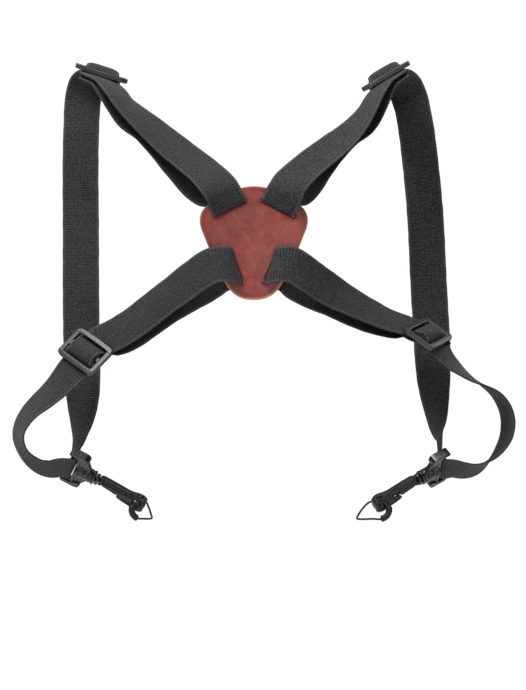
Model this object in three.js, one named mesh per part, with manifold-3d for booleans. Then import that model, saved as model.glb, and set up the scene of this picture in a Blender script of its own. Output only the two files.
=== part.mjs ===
// Binocular harness: a leather back plate with four slots, two elastic webbing straps,
// four tri-glide sliders and two swivel snap hooks that carry cord loops.
// Millimetres, +Z up. Origin: centre of the leather plate's +Y face. The straps reach mostly
// towards +Y, the wearer's chest side. Left is -X, right is +X.
import * as THREE from 'three';
import * as BufferGeometryUtils from 'three/addons/utils/BufferGeometryUtils.js';
import Module from 'manifold-3d';

const group = new THREE.Group();
group.name = 'binocular_harness';

// ---- materials ----
const standard = (settings) => new THREE.MeshStandardMaterial({ metalness: 0, ...settings });
const webbing = () => standard({ color: 0x3a3c3d, roughness: 0.92 });
const outerLeather = () => standard({ color: 0xa54a40, roughness: 0.5 });
const innerLeather = () => standard({ color: 0xb8623f, roughness: 0.5 });
const sliderPlastic = () => standard({ color: 0x3b3d40, roughness: 0.42 });
const hookPlastic = () => standard({ color: 0x131415, roughness: 0.25 });
const cordFabric = () => standard({ color: 0x17181a, roughness: 0.8 });

// ---- shared helpers ----
const manifold = await Module();
manifold.setup();

const toSolid = (geometry) => {
  // Normals and uvs would keep coincident corners apart, so only positions are merged.
  const bare = new THREE.BufferGeometry();
  bare.setAttribute('position', geometry.attributes.position);
  bare.setIndex(geometry.index);
  const merged = BufferGeometryUtils.mergeVertices(bare, 1e-4);
  return new manifold.Manifold(new manifold.Mesh({
    numProp: 3,
    vertProperties: new Float32Array(merged.attributes.position.array),
    triVerts: new Uint32Array(merged.index.array),
  }));
};

const toGeometry = (solid) => {
  const mesh = solid.getMesh();
  const geometry = new THREE.BufferGeometry();
  const positions = new Float32Array(mesh.vertProperties);
  geometry.setAttribute('position', new THREE.BufferAttribute(positions, 3));
  geometry.setIndex(new THREE.BufferAttribute(new Uint32Array(mesh.triVerts), 1));
  const flat = geometry.toNonIndexed();
  flat.computeVertexNormals();
  return flat;
};

const addMesh = (name, geometry, material, parent = group) => {
  const mesh = new THREE.Mesh(geometry, material);
  mesh.name = name;
  parent.add(mesh);
};

const addFrame = (name, origin, x, y, z) => {
  const frame = new THREE.Group();
  frame.name = name;
  frame.position.copy(origin);
  frame.quaternion.setFromRotationMatrix(new THREE.Matrix4().makeBasis(x, y, z));
  group.add(frame);
  return frame;
};

const vector = (values) => new THREE.Vector3(...values);
const vectors2 = (rows) => rows.map(([x, y]) => new THREE.Vector2(x, y));

// ---- leather plate ----
const PLATE_THICK = 4.4;          // both leather layers with the glue line
const LAYER_GAP = 0.3;            // glue line between the two layers
const OUTER_LAYER = 2.05;         // thickness of the layer on the -Y side
const INNER_LAYER = PLATE_THICK - OUTER_LAYER - LAYER_GAP;
const OUTER_BEVEL = 0.45;
const INNER_BEVEL = 0.3;
const SKIVE = 0.2;                // the inner layer is thinner by this outside its centre field
const CENTRE_FIELD_R = 12;
const CENTRE_FIELD_DEPTH = INNER_LAYER - 0.6;
const PLATE_HALF_WIDTH = 35;
const OUTLINE_STEPS = 60;
const SLOT_LENGTH = 25.4;
const SLOT_WIDTH = 3.0;
const SLOT_END_STEPS = 6;
// Slot centres on the +X half; angle in degrees, rising towards the middle when positive
const SLOTS = [
  { x: 15.2, z: 22.5, angle: 26.7 },
  { x: 11.2, z: -15.4, angle: -67.3 },
];
// Right half from the top centre round to the bottom centre (x, z)
const PLATE_OUTLINE = [
  [0, 36.9], [8, 36.0], [16, 32.8], [24, 28.4], [30.5, 24.3], [33.8, 20.2], [35, 16], [34.6, 11],
  [32.6, 5.5], [28, -6], [23.5, -16], [19.6, -24], [16.4, -29.2], [12, -33.6], [6.5, -36.2],
  [0, -36.9],
];

const plateShape = (inset) => {
  const leftHalf = PLATE_OUTLINE.slice(1, -1).reverse().map(([x, z]) => [-x, z]);
  const corners = vectors2([...PLATE_OUTLINE, ...leftHalf, PLATE_OUTLINE[0]]);
  const smooth = new THREE.SplineCurve(corners).getPoints(OUTLINE_STEPS).slice(0, -1);
  const scale = 1 - inset / PLATE_HALF_WIDTH;
  return new THREE.Shape(smooth.map((point) => point.multiplyScalar(scale)));
};

const slotHole = (slot, side, grow) => {
  const angle = THREE.MathUtils.degToRad(slot.angle);
  const along = new THREE.Vector2(-side * Math.cos(angle), Math.sin(angle));
  const across = new THREE.Vector2(-along.y, along.x);
  const centre = new THREE.Vector2(side * slot.x, slot.z);
  const radius = SLOT_WIDTH / 2 + grow;
  const endCentre = SLOT_LENGTH / 2 - SLOT_WIDTH / 2;
  const points = [];
  for (const end of [0, 1]) {
    for (let i = 0; i <= SLOT_END_STEPS; i++) {
      const turn = -Math.PI / 2 + (Math.PI * i) / SLOT_END_STEPS + end * Math.PI;
      const u = (end ? -endCentre : endCentre) + radius * Math.cos(turn);
      const v = radius * Math.sin(turn);
      points.push(centre.clone().addScaledVector(along, u).addScaledVector(across, v));
    }
  }
  return new THREE.Path(points);
};

const layerGeometry = (thick, bevel) => {
  const shape = plateShape(bevel);
  for (const side of [-1, 1]) {
    for (const slot of SLOTS) shape.holes.push(slotHole(slot, side, bevel));
  }
  const geometry = new THREE.ExtrudeGeometry(shape, {
    depth: thick - 2 * bevel,
    bevelThickness: bevel,
    bevelSize: bevel,
    bevelSegments: 1,
    curveSegments: 6,
  });
  geometry.translate(0, 0, bevel);
  geometry.rotateX(Math.PI / 2);  // shape's +y becomes +Z, the extrusion runs towards -Y
  return geometry;
};

const outerLayerGeometry = () =>
  layerGeometry(OUTER_LAYER, OUTER_BEVEL).translate(0, -(PLATE_THICK - OUTER_LAYER), 0);

const innerLayerGeometry = () => {
  const skived = layerGeometry(INNER_LAYER - SKIVE, INNER_BEVEL).translate(0, -SKIVE, 0);
  const field = new THREE.CylinderGeometry(
    CENTRE_FIELD_R, CENTRE_FIELD_R, CENTRE_FIELD_DEPTH, 40,
  );
  field.translate(0, -CENTRE_FIELD_DEPTH / 2, 0);
  return toGeometry(toSolid(skived).add(toSolid(field)));
};

addMesh('back_plate_outer', outerLayerGeometry(), outerLeather());
addMesh('back_plate_inner', innerLayerGeometry(), innerLeather());

// ---- places of the sliders and hook ends ----
// Slider frames: centre, direction along the strap, direction across it
const SLIDERS = {
  upper_slider_left: {
    centre: [-102.069, 41, 115.269],
    along: [-0.0266, -0.9962, -0.083],
    across: [0.9523, 0, -0.3051],
  },
  upper_slider_right: {
    centre: [88.1376, 41, 113.663],
    along: [0.0441, -0.9962, -0.0752],
    across: [-0.8627, 0, -0.5058],
  },
  lower_slider_left: {
    centre: [-111.934, 30, -70.4883],
    along: [0.6682, 0.2468, 0.7018],
    across: [0.6896, -0.5596, -0.4597],
  },
  lower_slider_right: {
    centre: [115.452, 29, -58.7419],
    along: [-0.7628, 0.2921, 0.577],
    across: [-0.4894, -0.8439, -0.2197],
  },
};

// Hook ends: eye bar centre, swivel axis, direction of the eye bar.
// cord: loop points as distance along the swivel axis from the eye bar, sideways offset, and
// offset through the hook, positive towards +Y; throughSign turns the last onto the hook's z.
// sleeve: the fractions of the cord's length between which the sleeve lies.
const HOOK_ENDS = {
  left: {
    bar: [-124.691, 56, -147.092],
    axis: [0.8879, 0, -0.46],
    across: [0.3006, -0.757, 0.5802],
    throughSign: 1,
    cord: [
      [51.4, 1.35, 0], [51.35, 1.45, -2.6], [50.9, 3.4, -5.0], [51.0, 6.6, -5.7],
      [53.6, 9.6, -5.4], [57.4, 10.5, -4.4], [61.0, 9.1, -3.0], [64.6, 7.4, -1.6],
      [65.8, 6.3, 0.3], [64.2, 4.6, 1.9], [60.6, 1.2, 3.3], [56.6, -1.3, 4.1],
      [53.2, 0.2, 3.9], [51.6, 1.25, 2.4],
    ],
    sleeve: { from: 0.145, to: 0.345 },
  },
  right: {
    bar: [127.795, 56, -147.295],
    axis: [-0.8338, -0.3399, -0.4349],
    across: [0.0221, -0.8078, 0.589],
    throughSign: -1,
    cord: [
      [51.4, 1.35, 0], [51.35, 1.45, -2.6], [50.9, 3.6, -5.0], [51.2, 6.8, -5.7],
      [54.4, 9.8, -5.4], [58.8, 10.0, -4.4], [63.4, 7.6, -3.0], [69.8, 4.6, -1.6],
      [72.4, 2.9, 0.2], [69.6, 1.5, 1.9], [64.2, -0.5, 3.3], [58.2, -1.6, 4.2],
      [53.6, -0.1, 4.0], [51.6, 1.2, 2.4],
    ],
    sleeve: { from: 0.125, to: 0.30 },
  },
};

// ---- straps ----
const WEB_THICK = 1.5;
const SECTION_STEP = 5.5;         // longest straight piece between two cross sections
const SHORT_SPAN = 4.5;           // spans between stations below this get two pieces
const TWIST_SMOOTHING_PASSES = 5;

// Stations run from the sewn tail at the upper slider to the sewn tail at the lower slider.
// Columns: x, y, z of the middle of the webbing, direction across it (x, y, z), width there.
// held() fills in the last four for points (x, y, z) that share a direction and a width.
const held = (across, width, points) => points.map((point) => [...point, ...across, width]);
const mirrored = (stations) => stations.map(([x, y, z, acrossX, ...rest]) =>
  [-x, y, z, -acrossX, ...rest]);

// Through the slots on the +X side; the -X side is its mirror image
const UPPER_SLOT_STATIONS = [
  [21.04, 4.8, 34.11, -0.8934, 0, 0.4493, 24.6],
  [18.79, 3.4, 29.65, -0.8934, 0, 0.4493, 24.17],
  [17, 2.5, 26.07, -0.8934, 0, 0.4493, 23.78],
  [15.96, 1.75, 24.02, -0.8934, 0, 0.4493, 23.56],
  [15.4, 0.9, 22.9, -0.8934, 0, 0.4493, 23.44],
  [15.2, -2.2, 22.5, -0.8934, 0, 0.4493, 23.4],
  [15.4, -5.3, 22.9, -0.8934, 0.0004, 0.4493, 23.44],
  [15.96, -6.2, 24.02, -0.8934, 0.0055, 0.4493, 23.56],
  [17, -7, 26.07, -0.893, 0.0307, 0.4491, 23.78],
  [18.79, -8.2, 29.65, -0.8867, 0.122, 0.446, 24.17],
  [20.82, -9.3, 33.67, -0.8557, 0.2873, 0.4304, 24.6],
];
const LOWER_SLOT_STATIONS = [
  [11.62, -5.3, -15.57, -0.3859, -0.0005, -0.9225, 23.44],
  [11.2, -2.2, -15.4, -0.3859, 0, -0.9225, 23.4],
  [11.62, 0.9, -15.57, -0.3859, 0, -0.9225, 23.44],
  [12.77, 1.75, -16.06, -0.3859, 0, -0.9225, 23.56],
  [14.89, 2.5, -16.94, -0.3859, 0, -0.9225, 23.78],
  [18.58, 3.4, -18.49, -0.3859, 0, -0.9225, 24.17],
  [23.19, 4.8, -20.42, -0.3859, 0, -0.9225, 24.6],
];

const STRAP_LEFT_STATIONS = [
  // tail at the upper slider
  ...held(SLIDERS.upper_slider_left.across, 24.2, [
    [-103.9, 28.48, 109.54], [-103.79, 30.45, 109.9], [-103.5, 33.38, 110.81],
  ]),
  ...held(SLIDERS.upper_slider_left.across, 22.6, [
    [-103.03, 36.06, 112.28], [-102.53, 37.62, 113.84], [-102.05, 38.13, 115.32],
    [-101.59, 38.86, 116.76], [-101.37, 40.8, 117.45], [-101.48, 42.84, 117.09],
    [-101.93, 43.82, 115.69], [-102.52, 43.44, 113.85], [-103.04, 41.28, 112.23],
    [-103.76, 37.47, 110],
  ]),
  ...held(SLIDERS.upper_slider_left.across, 24.2, [
    [-104.15, 33.57, 108.77], [-104.39, 29.62, 108.01],
  ]),
  // to the upper slot
  [-98.08, 23, 104.08, 0.7391, 0.6492, -0.1798, 25],
  [-93.73, 17.5, 97.5, 0.501, 0.8617, 0.0802, 25],
  [-87.95, 14.8, 88.65, 0.4315, 0.843, 0.3211, 25],
  [-81.65, 13.8, 80.67, 0.4707, 0.7911, 0.3906, 25],
  [-73.43, 13.6, 74.08, 0.3998, 0.8696, 0.2899, 25],
  [-62.27, 13.4, 63.56, 0.4616, 0.8229, 0.3312, 25],
  [-49.77, 12.6, 51.16, 0.6185, 0.6584, 0.429, 25],
  [-37.63, 12.5, 41.18, 0.8367, 0.2449, 0.4898, 25],
  [-28.37, 9.4, 34.73, 0.8917, -0.0401, 0.4509, 25],
  ...mirrored(UPPER_SLOT_STATIONS),
  // back to the upper slider
  [-25.69, -8, 39.95, 0.789, 0.4142, 0.4537, 25],
  [-32.94, -3, 47.47, 0.7293, 0.5125, 0.4533, 25],
  [-42.84, 2, 55.68, 0.6954, 0.5464, 0.4669, 25],
  [-54.71, 5.5, 65.12, 0.6576, 0.5979, 0.4584, 25],
  [-65.9, 7.5, 74.79, 0.5405, 0.7106, 0.4504, 25],
  [-75.73, 8, 83.66, 0.4494, 0.799, 0.3995, 25],
  [-83.54, 9.5, 91.67, 0.3895, 0.8638, 0.3196, 25],
  [-89.6, 13, 99.61, 0.4405, 0.891, 0.1101, 25],
  [-94.93, 20.5, 105.76, 0.7001, 0.7001, -0.14, 25],
  ...held(SLIDERS.upper_slider_left.across, 24.8, [
    [-103.27, 29.3, 111.52], [-103.12, 31.97, 111.98], [-102.91, 33.51, 112.64],
    [-102.48, 34.69, 113.98], [-101.81, 35.71, 116.07],
  ]),
  ...held(SLIDERS.upper_slider_left.across, 24.4, [
    [-101.02, 37.49, 118.55], [-100.58, 40.57, 119.92], [-100.85, 43.86, 119.08],
  ]),
  ...held(SLIDERS.upper_slider_left.across, 24.8, [
    [-101.54, 46.07, 116.93], [-102.14, 47.45, 115.04], [-102.5, 48.85, 113.92],
    [-102.63, 50.5, 113.53], [-102.63, 53.21, 113.51], [-102.61, 56.21, 113.57],
  ]),
  // down to the hook's eye bar
  [-105.59, 63.5, 117.01, 0.9513, 0.1214, -0.2834, 25],
  [-109.92, 71, 116.58, 0.9614, 0.1619, -0.2226, 25],
  [-114.99, 77, 111.91, 0.9908, 0.0607, -0.1213, 25],
  [-117.53, 79.5, 103.63, 0.9988, -0.04, -0.03, 25],
  [-118.6, 76, 81.3, 0.9929, -0.1191, 0, 25],
  [-118.91, 75.5, 53.84, 0.995, -0.0995, 0, 25],
  [-118.78, 74, 16.08, 0.9982, -0.0599, 0, 25],
  [-118.39, 71, -21.65, 0.9998, -0.02, 0, 25],
  [-117.86, 68, -55.82, 1, 0, 0, 25],
  [-117.08, 66, -76.25, 0.9988, -0.0499, 0, 25],
  [-116.55, 64.5, -93.24, 0.9757, -0.219, 0, 25],
  [-116.6, 63.5, -106.81, 0.8779, -0.4789, 0, 25],
  [-117.47, 62.5, -118.32, 0.6758, -0.7354, 0.0497, 25],
  [-118.74, 61.5, -127.79, 0.4614, -0.8726, 0.1605, 25],
  [-120.53, 61, -136.79, 0.3009, -0.8827, 0.3611, 25],
  ...held(HOOK_ENDS.left.across, 24.4, [
    [-121.78, 56.81, -147.54], [-122.51, 55.32, -149.11], [-124.46, 54.21, -149.55],
  ]),
  // up to the lower slider
  [-130.21, 53.6, -148.78, 0.1612, -0.8363, 0.524, 25],
  [-137.43, 53.6, -149.86, 0, -0.8412, 0.5408, 25],
  [-145.13, 53, -147.8, 0.1221, -0.8752, 0.4681, 25],
  [-151.66, 51, -142.5, 0.2659, -0.9205, 0.2864, 25],
  [-156.15, 49, -136.01, 0.3416, -0.9344, 0.1005, 25],
  [-158.02, 46.5, -128.83, 0.3818, -0.9243, 0, 25],
  [-156.93, 44, -121.02, 0.379, -0.9176, -0.1197, 25],
  [-152.58, 41, -113.21, 0.3795, -0.8987, -0.2197, 25],
  [-146.19, 37.5, -105.95, 0.4009, -0.8721, -0.2807, 25],
  [-138.16, 34, -99.33, 0.4834, -0.8057, -0.3424, 25],
  [-130.55, 31, -92.62, 0.5623, -0.7229, -0.4016, 25],
  [-125.08, 29.3, -87.14, 0.6327, -0.6428, -0.4319, 25],
  ...held(SLIDERS.lower_slider_left.across, 24.8, [
    [-121.09, 28.75, -82.7], [-119.14, 29.33, -80.49], [-117.41, 29.8, -78.46],
    [-116.49, 29.76, -77.04], [-115.99, 29.05, -75.42], [-115.77, 27.69, -73.43],
    [-114.99, 26.6, -70.94], [-113.12, 26.64, -68.18], [-110.72, 28.18, -66.45],
    [-108.82, 30.26, -66.13], [-107.43, 32.21, -66.43], [-106.2, 33.56, -66.23],
    [-104.98, 34.39, -65.4], [-103.11, 35.26, -63.64],
  ]),
  // to the lower slot
  [-98.57, 34.3, -61.71, 0.5638, -0.584, -0.584, 25],
  [-92.05, 31.5, -58.73, 0.4858, -0.587, -0.6477, 25],
  [-84.12, 27, -54.11, 0.4518, -0.5622, -0.6927, 25],
  [-74.51, 21, -47.76, 0.4727, -0.5431, -0.694, 25],
  [-63.56, 13, -39.67, 0.4805, -0.5405, -0.6907, 25],
  [-51.47, 6, -30.46, 0.4811, -0.5513, -0.6816, 25],
  [-40.68, -4.2, -22.75, 0.4208, -0.4608, -0.7814, 25],
  [-32.76, -9.2, -17.61, 0.319, -0.3589, -0.8772, 25],
  [-25.61, -11.6, -14.34, 0.261, -0.2811, -0.9235, 24.6],
  [-19.47, -12, -13.71, 0.3019, -0.1812, -0.936, 24.2],
  [-14.92, -10.8, -14.38, 0.3598, -0.08, -0.9296, 23.8],
  [-12.11, -8.3, -15.19, 0.3861, -0.02, -0.9222, 23.5],
  ...mirrored(LOWER_SLOT_STATIONS),
  // back to the lower slider, with the tail
  [-26.71, 8, -22.89, 0.3625, -0.1007, -0.9265, 25],
  [-35.95, 11, -28.7, 0.3604, -0.2002, -0.911, 25],
  [-46.61, 16, -34.48, 0.4009, -0.2807, -0.8721, 25],
  [-58.02, 21, -41.3, 0.4606, -0.3605, -0.8111, 25],
  [-69.52, 26.5, -49.48, 0.4801, -0.4201, -0.7701, 25],
  [-79.12, 32, -56.4, 0.4851, -0.4851, -0.7276, 25],
  [-88.09, 37, -61.04, 0.5377, -0.5377, -0.6494, 25],
  [-93.59, 39.3, -62.36, 0.5873, -0.5569, -0.5873, 25],
  ...held(SLIDERS.lower_slider_left.across, 24.6, [
    [-102.07, 38.18, -65.66], [-104.87, 36.84, -68.22], [-107.81, 35.1, -70.51],
    [-111.04, 32.53, -72.23], [-113, 30.78, -73.03], [-113.89, 29.14, -72.38],
    [-113.76, 28.12, -70.94], [-112.58, 28.18, -69.24], [-111.09, 29.11, -68.13],
    [-110.11, 30.47, -68.32], [-109.26, 31.81, -68.68], [-107.7, 33.42, -68.31],
    [-105.47, 35.14, -67.05], [-103.27, 36.43, -65.33], [-101.88, 37.09, -64.03],
  ]),
];

const STRAP_RIGHT_STATIONS = [
  // tail at the upper slider
  ...held(SLIDERS.upper_slider_right.across, 24.2, [
    [91.18, 28.48, 108.47], [90.99, 30.45, 108.8], [90.51, 33.38, 109.62],
  ]),
  ...held(SLIDERS.upper_slider_right.across, 22.6, [
    [89.73, 36.06, 110.95], [88.9, 37.62, 112.37], [88.11, 38.13, 113.71],
    [87.34, 38.86, 115.02], [86.98, 40.8, 115.64], [87.17, 42.84, 115.32],
    [87.91, 43.82, 114.05], [88.89, 43.44, 112.37], [89.75, 41.28, 110.91],
    [90.93, 37.47, 108.89],
  ]),
  ...held(SLIDERS.upper_slider_right.across, 24.2, [
    [91.59, 33.57, 107.78], [91.99, 29.62, 107.09],
  ]),
  // to the upper slot
  [86.58, 23, 102.1, -0.6798, 0.6498, -0.3399, 25],
  [82.85, 17.5, 94.54, -0.4705, 0.881, -0.0501, 25],
  [78.24, 14.8, 85.7, -0.3805, 0.8812, 0.2804, 25],
  [71.95, 13.8, 77.06, -0.4332, 0.816, 0.3828, 25],
  [63.08, 13.6, 69.82, -0.3998, 0.8696, 0.2899, 25],
  [53.88, 13.4, 61.27, -0.4717, 0.813, 0.3413, 25],
  [43.36, 12.6, 51.36, -0.6286, 0.6486, 0.4291, 25],
  [33.52, 12.5, 41.64, -0.8325, 0.2437, 0.4975, 25],
  [25.61, 9.6, 34.09, -0.892, -0.0301, 0.451, 25],
  ...UPPER_SLOT_STATIONS,
  // back to the upper slider
  [23.43, -8, 38.66, -0.7666, 0.4438, 0.464, 25],
  [30.63, -3, 45.84, -0.7066, 0.5249, 0.4745, 25],
  [40.15, 2, 54.06, -0.6477, 0.587, 0.4858, 25],
  [51.01, 5.5, 62.84, -0.6077, 0.628, 0.4862, 25],
  [61.2, 7.5, 71.52, -0.5, 0.74, 0.45, 25],
  [69.09, 8.5, 80.12, -0.3911, 0.8423, 0.371, 25],
  [75.04, 10, 88.78, -0.3412, 0.9031, 0.2609, 25],
  [79.35, 13.4, 97.03, -0.419, 0.9078, -0.02, 25],
  [83.28, 20.5, 103.72, -0.6517, 0.6918, -0.3108, 25],
  ...held(SLIDERS.upper_slider_right.across, 24.8, [
    [90.13, 29.3, 110.27], [89.88, 31.97, 110.69], [89.54, 33.51, 111.28],
    [88.82, 34.69, 112.49], [87.71, 35.71, 114.39],
  ]),
  ...held(SLIDERS.upper_slider_right.across, 24.4, [
    [86.15, 37.44, 117.04], [85.32, 40.51, 118.48], [85.87, 43.82, 117.53],
  ]),
  ...held(SLIDERS.upper_slider_right.across, 24.8, [
    [87.25, 46.07, 115.17], [88.26, 47.45, 113.46], [88.86, 48.85, 112.44],
    [89.06, 50.5, 112.08], [89.07, 53.21, 112.07], [89.04, 56.21, 112.13],
  ]),
  // down to the hook's eye bar
  [91.59, 63.5, 115.38, -0.8775, 0.121, -0.464, 25],
  [97.02, 71, 115.49, -0.938, 0.1631, -0.3059, 25],
  [102.67, 77, 111.57, -0.9968, 0.0509, -0.061, 25],
  [106.89, 78.5, 102.83, -0.9954, -0.0505, 0.0808, 25],
  [110.42, 75, 84.62, -0.9877, -0.1003, 0.1203, 25],
  [113.15, 75, 64.08, -0.9917, -0.0801, 0.1002, 25],
  [115.89, 74, 36.61, -0.9969, -0.0501, 0.0601, 25],
  [117.62, 72.5, 9.16, -0.9985, -0.03, 0.0449, 25],
  [118.77, 70.5, -18.25, -0.9992, 0, 0.04, 25],
  [120.08, 68, -45.59, -0.9992, 0, 0.04, 25],
  [121.01, 66, -66.04, -0.998, -0.0499, 0.0399, 25],
  [121.71, 64.5, -83.04, -0.9666, -0.2491, 0.0598, 25],
  [122.58, 63.5, -98.66, -0.8617, -0.501, 0.0802, 25],
  [123.31, 62.5, -111.53, -0.6816, -0.7217, 0.1203, 25],
  [123.64, 61.5, -122.36, -0.5005, -0.8508, 0.1602, 25],
  [125.53, 61.4, -131.86, -0.199, -0.8955, 0.398, 25],
  ...held(HOOK_ENDS.right.across, 24.4, [
    [124.79, 55.65, -147.66], [125.98, 54.52, -149.25], [128.19, 54.23, -149.74],
  ]),
  // up to the lower slider
  [134.24, 54, -149.48, -0.0999, -0.8488, 0.5192, 25],
  [141.29, 53.6, -150.67, -0.0201, -0.8643, 0.5025, 25],
  [148.66, 53, -149.83, 0.0603, -0.8948, 0.4424, 25],
  [155.64, 52, -145.93, 0.16, -0.9303, 0.3301, 25],
  [161.94, 51, -140.14, 0.2201, -0.9605, 0.1701, 25],
  [166.88, 50, -133.36, 0.1996, -0.978, 0.0599, 25],
  [170.07, 48.5, -124.89, 0.2496, -0.9684, 0, 25],
  [170.31, 47, -115.42, 0.2601, -0.9654, 0.02, 25],
  [167.13, 45, -106.29, 0.23, -0.9699, 0.08, 25],
  [161.41, 43, -98.73, 0.1311, -0.9881, 0.0807, 25],
  [153.79, 40.5, -93.19, 0.0801, -0.9968, 0, 25],
  [145.42, 37, -87.79, -0.0602, -0.9931, -0.1003, 25],
  [137.38, 33, -81.68, -0.2008, -0.9588, -0.2008, 25],
  [130.1, 29.6, -75.66, -0.3194, -0.9182, -0.2345, 25],
  ...held(SLIDERS.lower_slider_right.across, 24.8, [
    [125.58, 26.01, -69.83], [123.38, 26.8, -67.95], [121.42, 27.48, -66.19],
    [120.44, 27.7, -64.84], [120, 27.49, -63.06], [119.97, 26.9, -60.72],
    [119.29, 26.58, -57.99], [117.25, 27.09, -55.4], [114.41, 28.45, -54.3],
    [112.03, 29.93, -54.72], [110.23, 31.23, -55.68], [108.69, 32.19, -55.95],
    [107.24, 32.91, -55.46], [105.07, 33.81, -54.1],
  ]),
  // to the lower slot
  [99, 31, -52.09, -0.3009, -0.8827, -0.3611, 25],
  [90.45, 27, -49.48, -0.1997, -0.8489, -0.4894, 25],
  [79.19, 20.5, -44.8, -0.1799, -0.7797, -0.5998, 25],
  [66.71, 14, -38.99, -0.3011, -0.7226, -0.6222, 25],
  [53.99, 7, -32.4, -0.4013, -0.6221, -0.6723, 25],
  [42.3, -3, -25.31, -0.4034, -0.4841, -0.7765, 25],
  [33.43, -8.8, -19.28, -0.319, -0.3589, -0.8772, 25],
  [25.96, -11.6, -14.73, -0.261, -0.2811, -0.9235, 24.6],
  [19.71, -12, -13.97, -0.3019, -0.1812, -0.936, 24.2],
  [15.07, -10.8, -14.51, -0.3598, -0.08, -0.9296, 23.8],
  [12.31, -8.3, -15.25, -0.3861, -0.02, -0.9222, 23.5],
  ...LOWER_SLOT_STATIONS,
  // back to the lower slider, with the tail
  [27.55, 8, -24.53, -0.3625, -0.1007, -0.9265, 25],
  [36.77, 11, -29.68, -0.3811, -0.2407, -0.8926, 25],
  [48.06, 16, -34.81, -0.3609, -0.4211, -0.8321, 25],
  [60.06, 20.5, -41.31, -0.3198, -0.5796, -0.7495, 25],
  [72.21, 26.5, -47.16, -0.2404, -0.7012, -0.6712, 25],
  [83.77, 32, -51.75, -0.1802, -0.8011, -0.5708, 25],
  [91.61, 35.3, -54.38, -0.2599, -0.8597, -0.4398, 25],
  [96.34, 36.4, -55.57, -0.3201, -0.8803, -0.3501, 25],
  ...held(SLIDERS.lower_slider_right.across, 24.6, [
    [103.51, 35.47, -57.01], [106.75, 34.1, -58.96], [110.2, 32.51, -60.52],
    [114.1, 30.44, -61.26], [116.49, 29.09, -61.41], [117.71, 28.08, -60.23],
    [117.72, 27.63, -58.52], [116.42, 27.97, -56.93], [114.67, 28.8, -56.21],
    [113.4, 29.7, -56.86], [112.27, 30.56, -57.67], [110.34, 31.73, -57.87],
    [107.66, 33.14, -57.27], [105.07, 34.33, -56.09], [103.46, 35, -55.1],
  ]),
];

// The point at knot value t on the line through a (at knot ta) and b (at knot tb).
const blend = (a, b, ta, tb, t) =>
  a.clone().multiplyScalar((tb - t) / (tb - ta)).addScaledVector(b, (t - ta) / (tb - ta));

// Centripetal Catmull-Rom point between the middle two of four points.
const splinePoint = ([p0, p1, p2, p3], [t0, t1, t2, t3], fraction) => {
  const t = t1 + (t2 - t1) * fraction;
  const a1 = blend(p0, p1, t0, t1, t);
  const a2 = blend(p1, p2, t1, t2, t);
  const a3 = blend(p2, p3, t2, t3, t);
  return blend(blend(a1, a2, t0, t2, t), blend(a2, a3, t1, t3, t), t1, t2, t);
};

// Cross sections along the strap: centres, directions across and widths.
const strapSections = (stations) => {
  const points = stations.map((station) => vector(station.slice(0, 3)));
  const directions = stations.map((station) => vector(station.slice(3, 6)));
  const stationWidths = stations.map((station) => station[6]);
  const beyond = (end, neighbour) => end.clone().multiplyScalar(2).sub(neighbour);
  const extended = [
    beyond(points[0], points[1]), ...points, beyond(points.at(-1), points.at(-2)),
  ];
  const knots = [0];
  for (let i = 1; i < extended.length; i++) {
    knots.push(knots[i - 1] + Math.sqrt(extended[i].distanceTo(extended[i - 1])));
  }
  const centres = [];
  const across = [];
  const widths = [];
  const lastSpan = points.length - 2;
  for (let i = 0; i <= lastSpan; i++) {
    const span = points[i + 1].distanceTo(points[i]);
    const steps = span < SHORT_SPAN ? 2 : Math.ceil(span / SECTION_STEP);
    const count = i === lastSpan ? steps + 1 : steps;
    for (let j = 0; j < count; j++) {
      const fraction = j / steps;
      const eased = fraction * fraction * (3 - 2 * fraction);
      centres.push(splinePoint(extended.slice(i, i + 4), knots.slice(i, i + 4), fraction));
      across.push(directions[i].clone().lerp(directions[i + 1], eased).normalize());
      widths.push(THREE.MathUtils.lerp(stationWidths[i], stationWidths[i + 1], fraction));
    }
  }
  return { centres, across, widths };
};

const strapGeometry = (stations) => {
  const { centres, across, widths } = strapSections(stations);
  const last = centres.length - 1;
  const tangents = centres.map((_, i) =>
    centres[Math.min(last, i + 1)].clone().sub(centres[Math.max(0, i - 1)]).normalize());
  const squareToTangents = () => across.forEach((direction, i) => {
    direction.addScaledVector(tangents[i], -direction.dot(tangents[i])).normalize();
  });
  squareToTangents();
  for (let pass = 0; pass < TWIST_SMOOTHING_PASSES; pass++) {
    const old = across.map((direction) => direction.clone());
    for (let i = 1; i < last; i++) {
      across[i].multiplyScalar(0.5);
      across[i].addScaledVector(old[i - 1], 0.25).addScaledVector(old[i + 1], 0.25);
    }
    squareToTangents();
  }
  // A unit box, sliced along z, is carried onto the cross sections.
  const strap = new THREE.BoxGeometry(1, 1, 1, 1, 1, last);
  const position = strap.attributes.position;
  for (let k = 0; k < position.count; k++) {
    const i = Math.round((position.getZ(k) + 0.5) * last);
    const normal = new THREE.Vector3().crossVectors(tangents[i], across[i]);
    const point = centres[i].clone()
      .addScaledVector(across[i], position.getX(k) * widths[i])
      .addScaledVector(normal, position.getY(k) * WEB_THICK);
    position.setXYZ(k, point.x, point.y, point.z);
  }
  strap.computeVertexNormals();
  return strap;
};

addMesh('strap_left', strapGeometry(STRAP_LEFT_STATIONS), webbing());
addMesh('strap_right', strapGeometry(STRAP_RIGHT_STATIONS), webbing());

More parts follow.
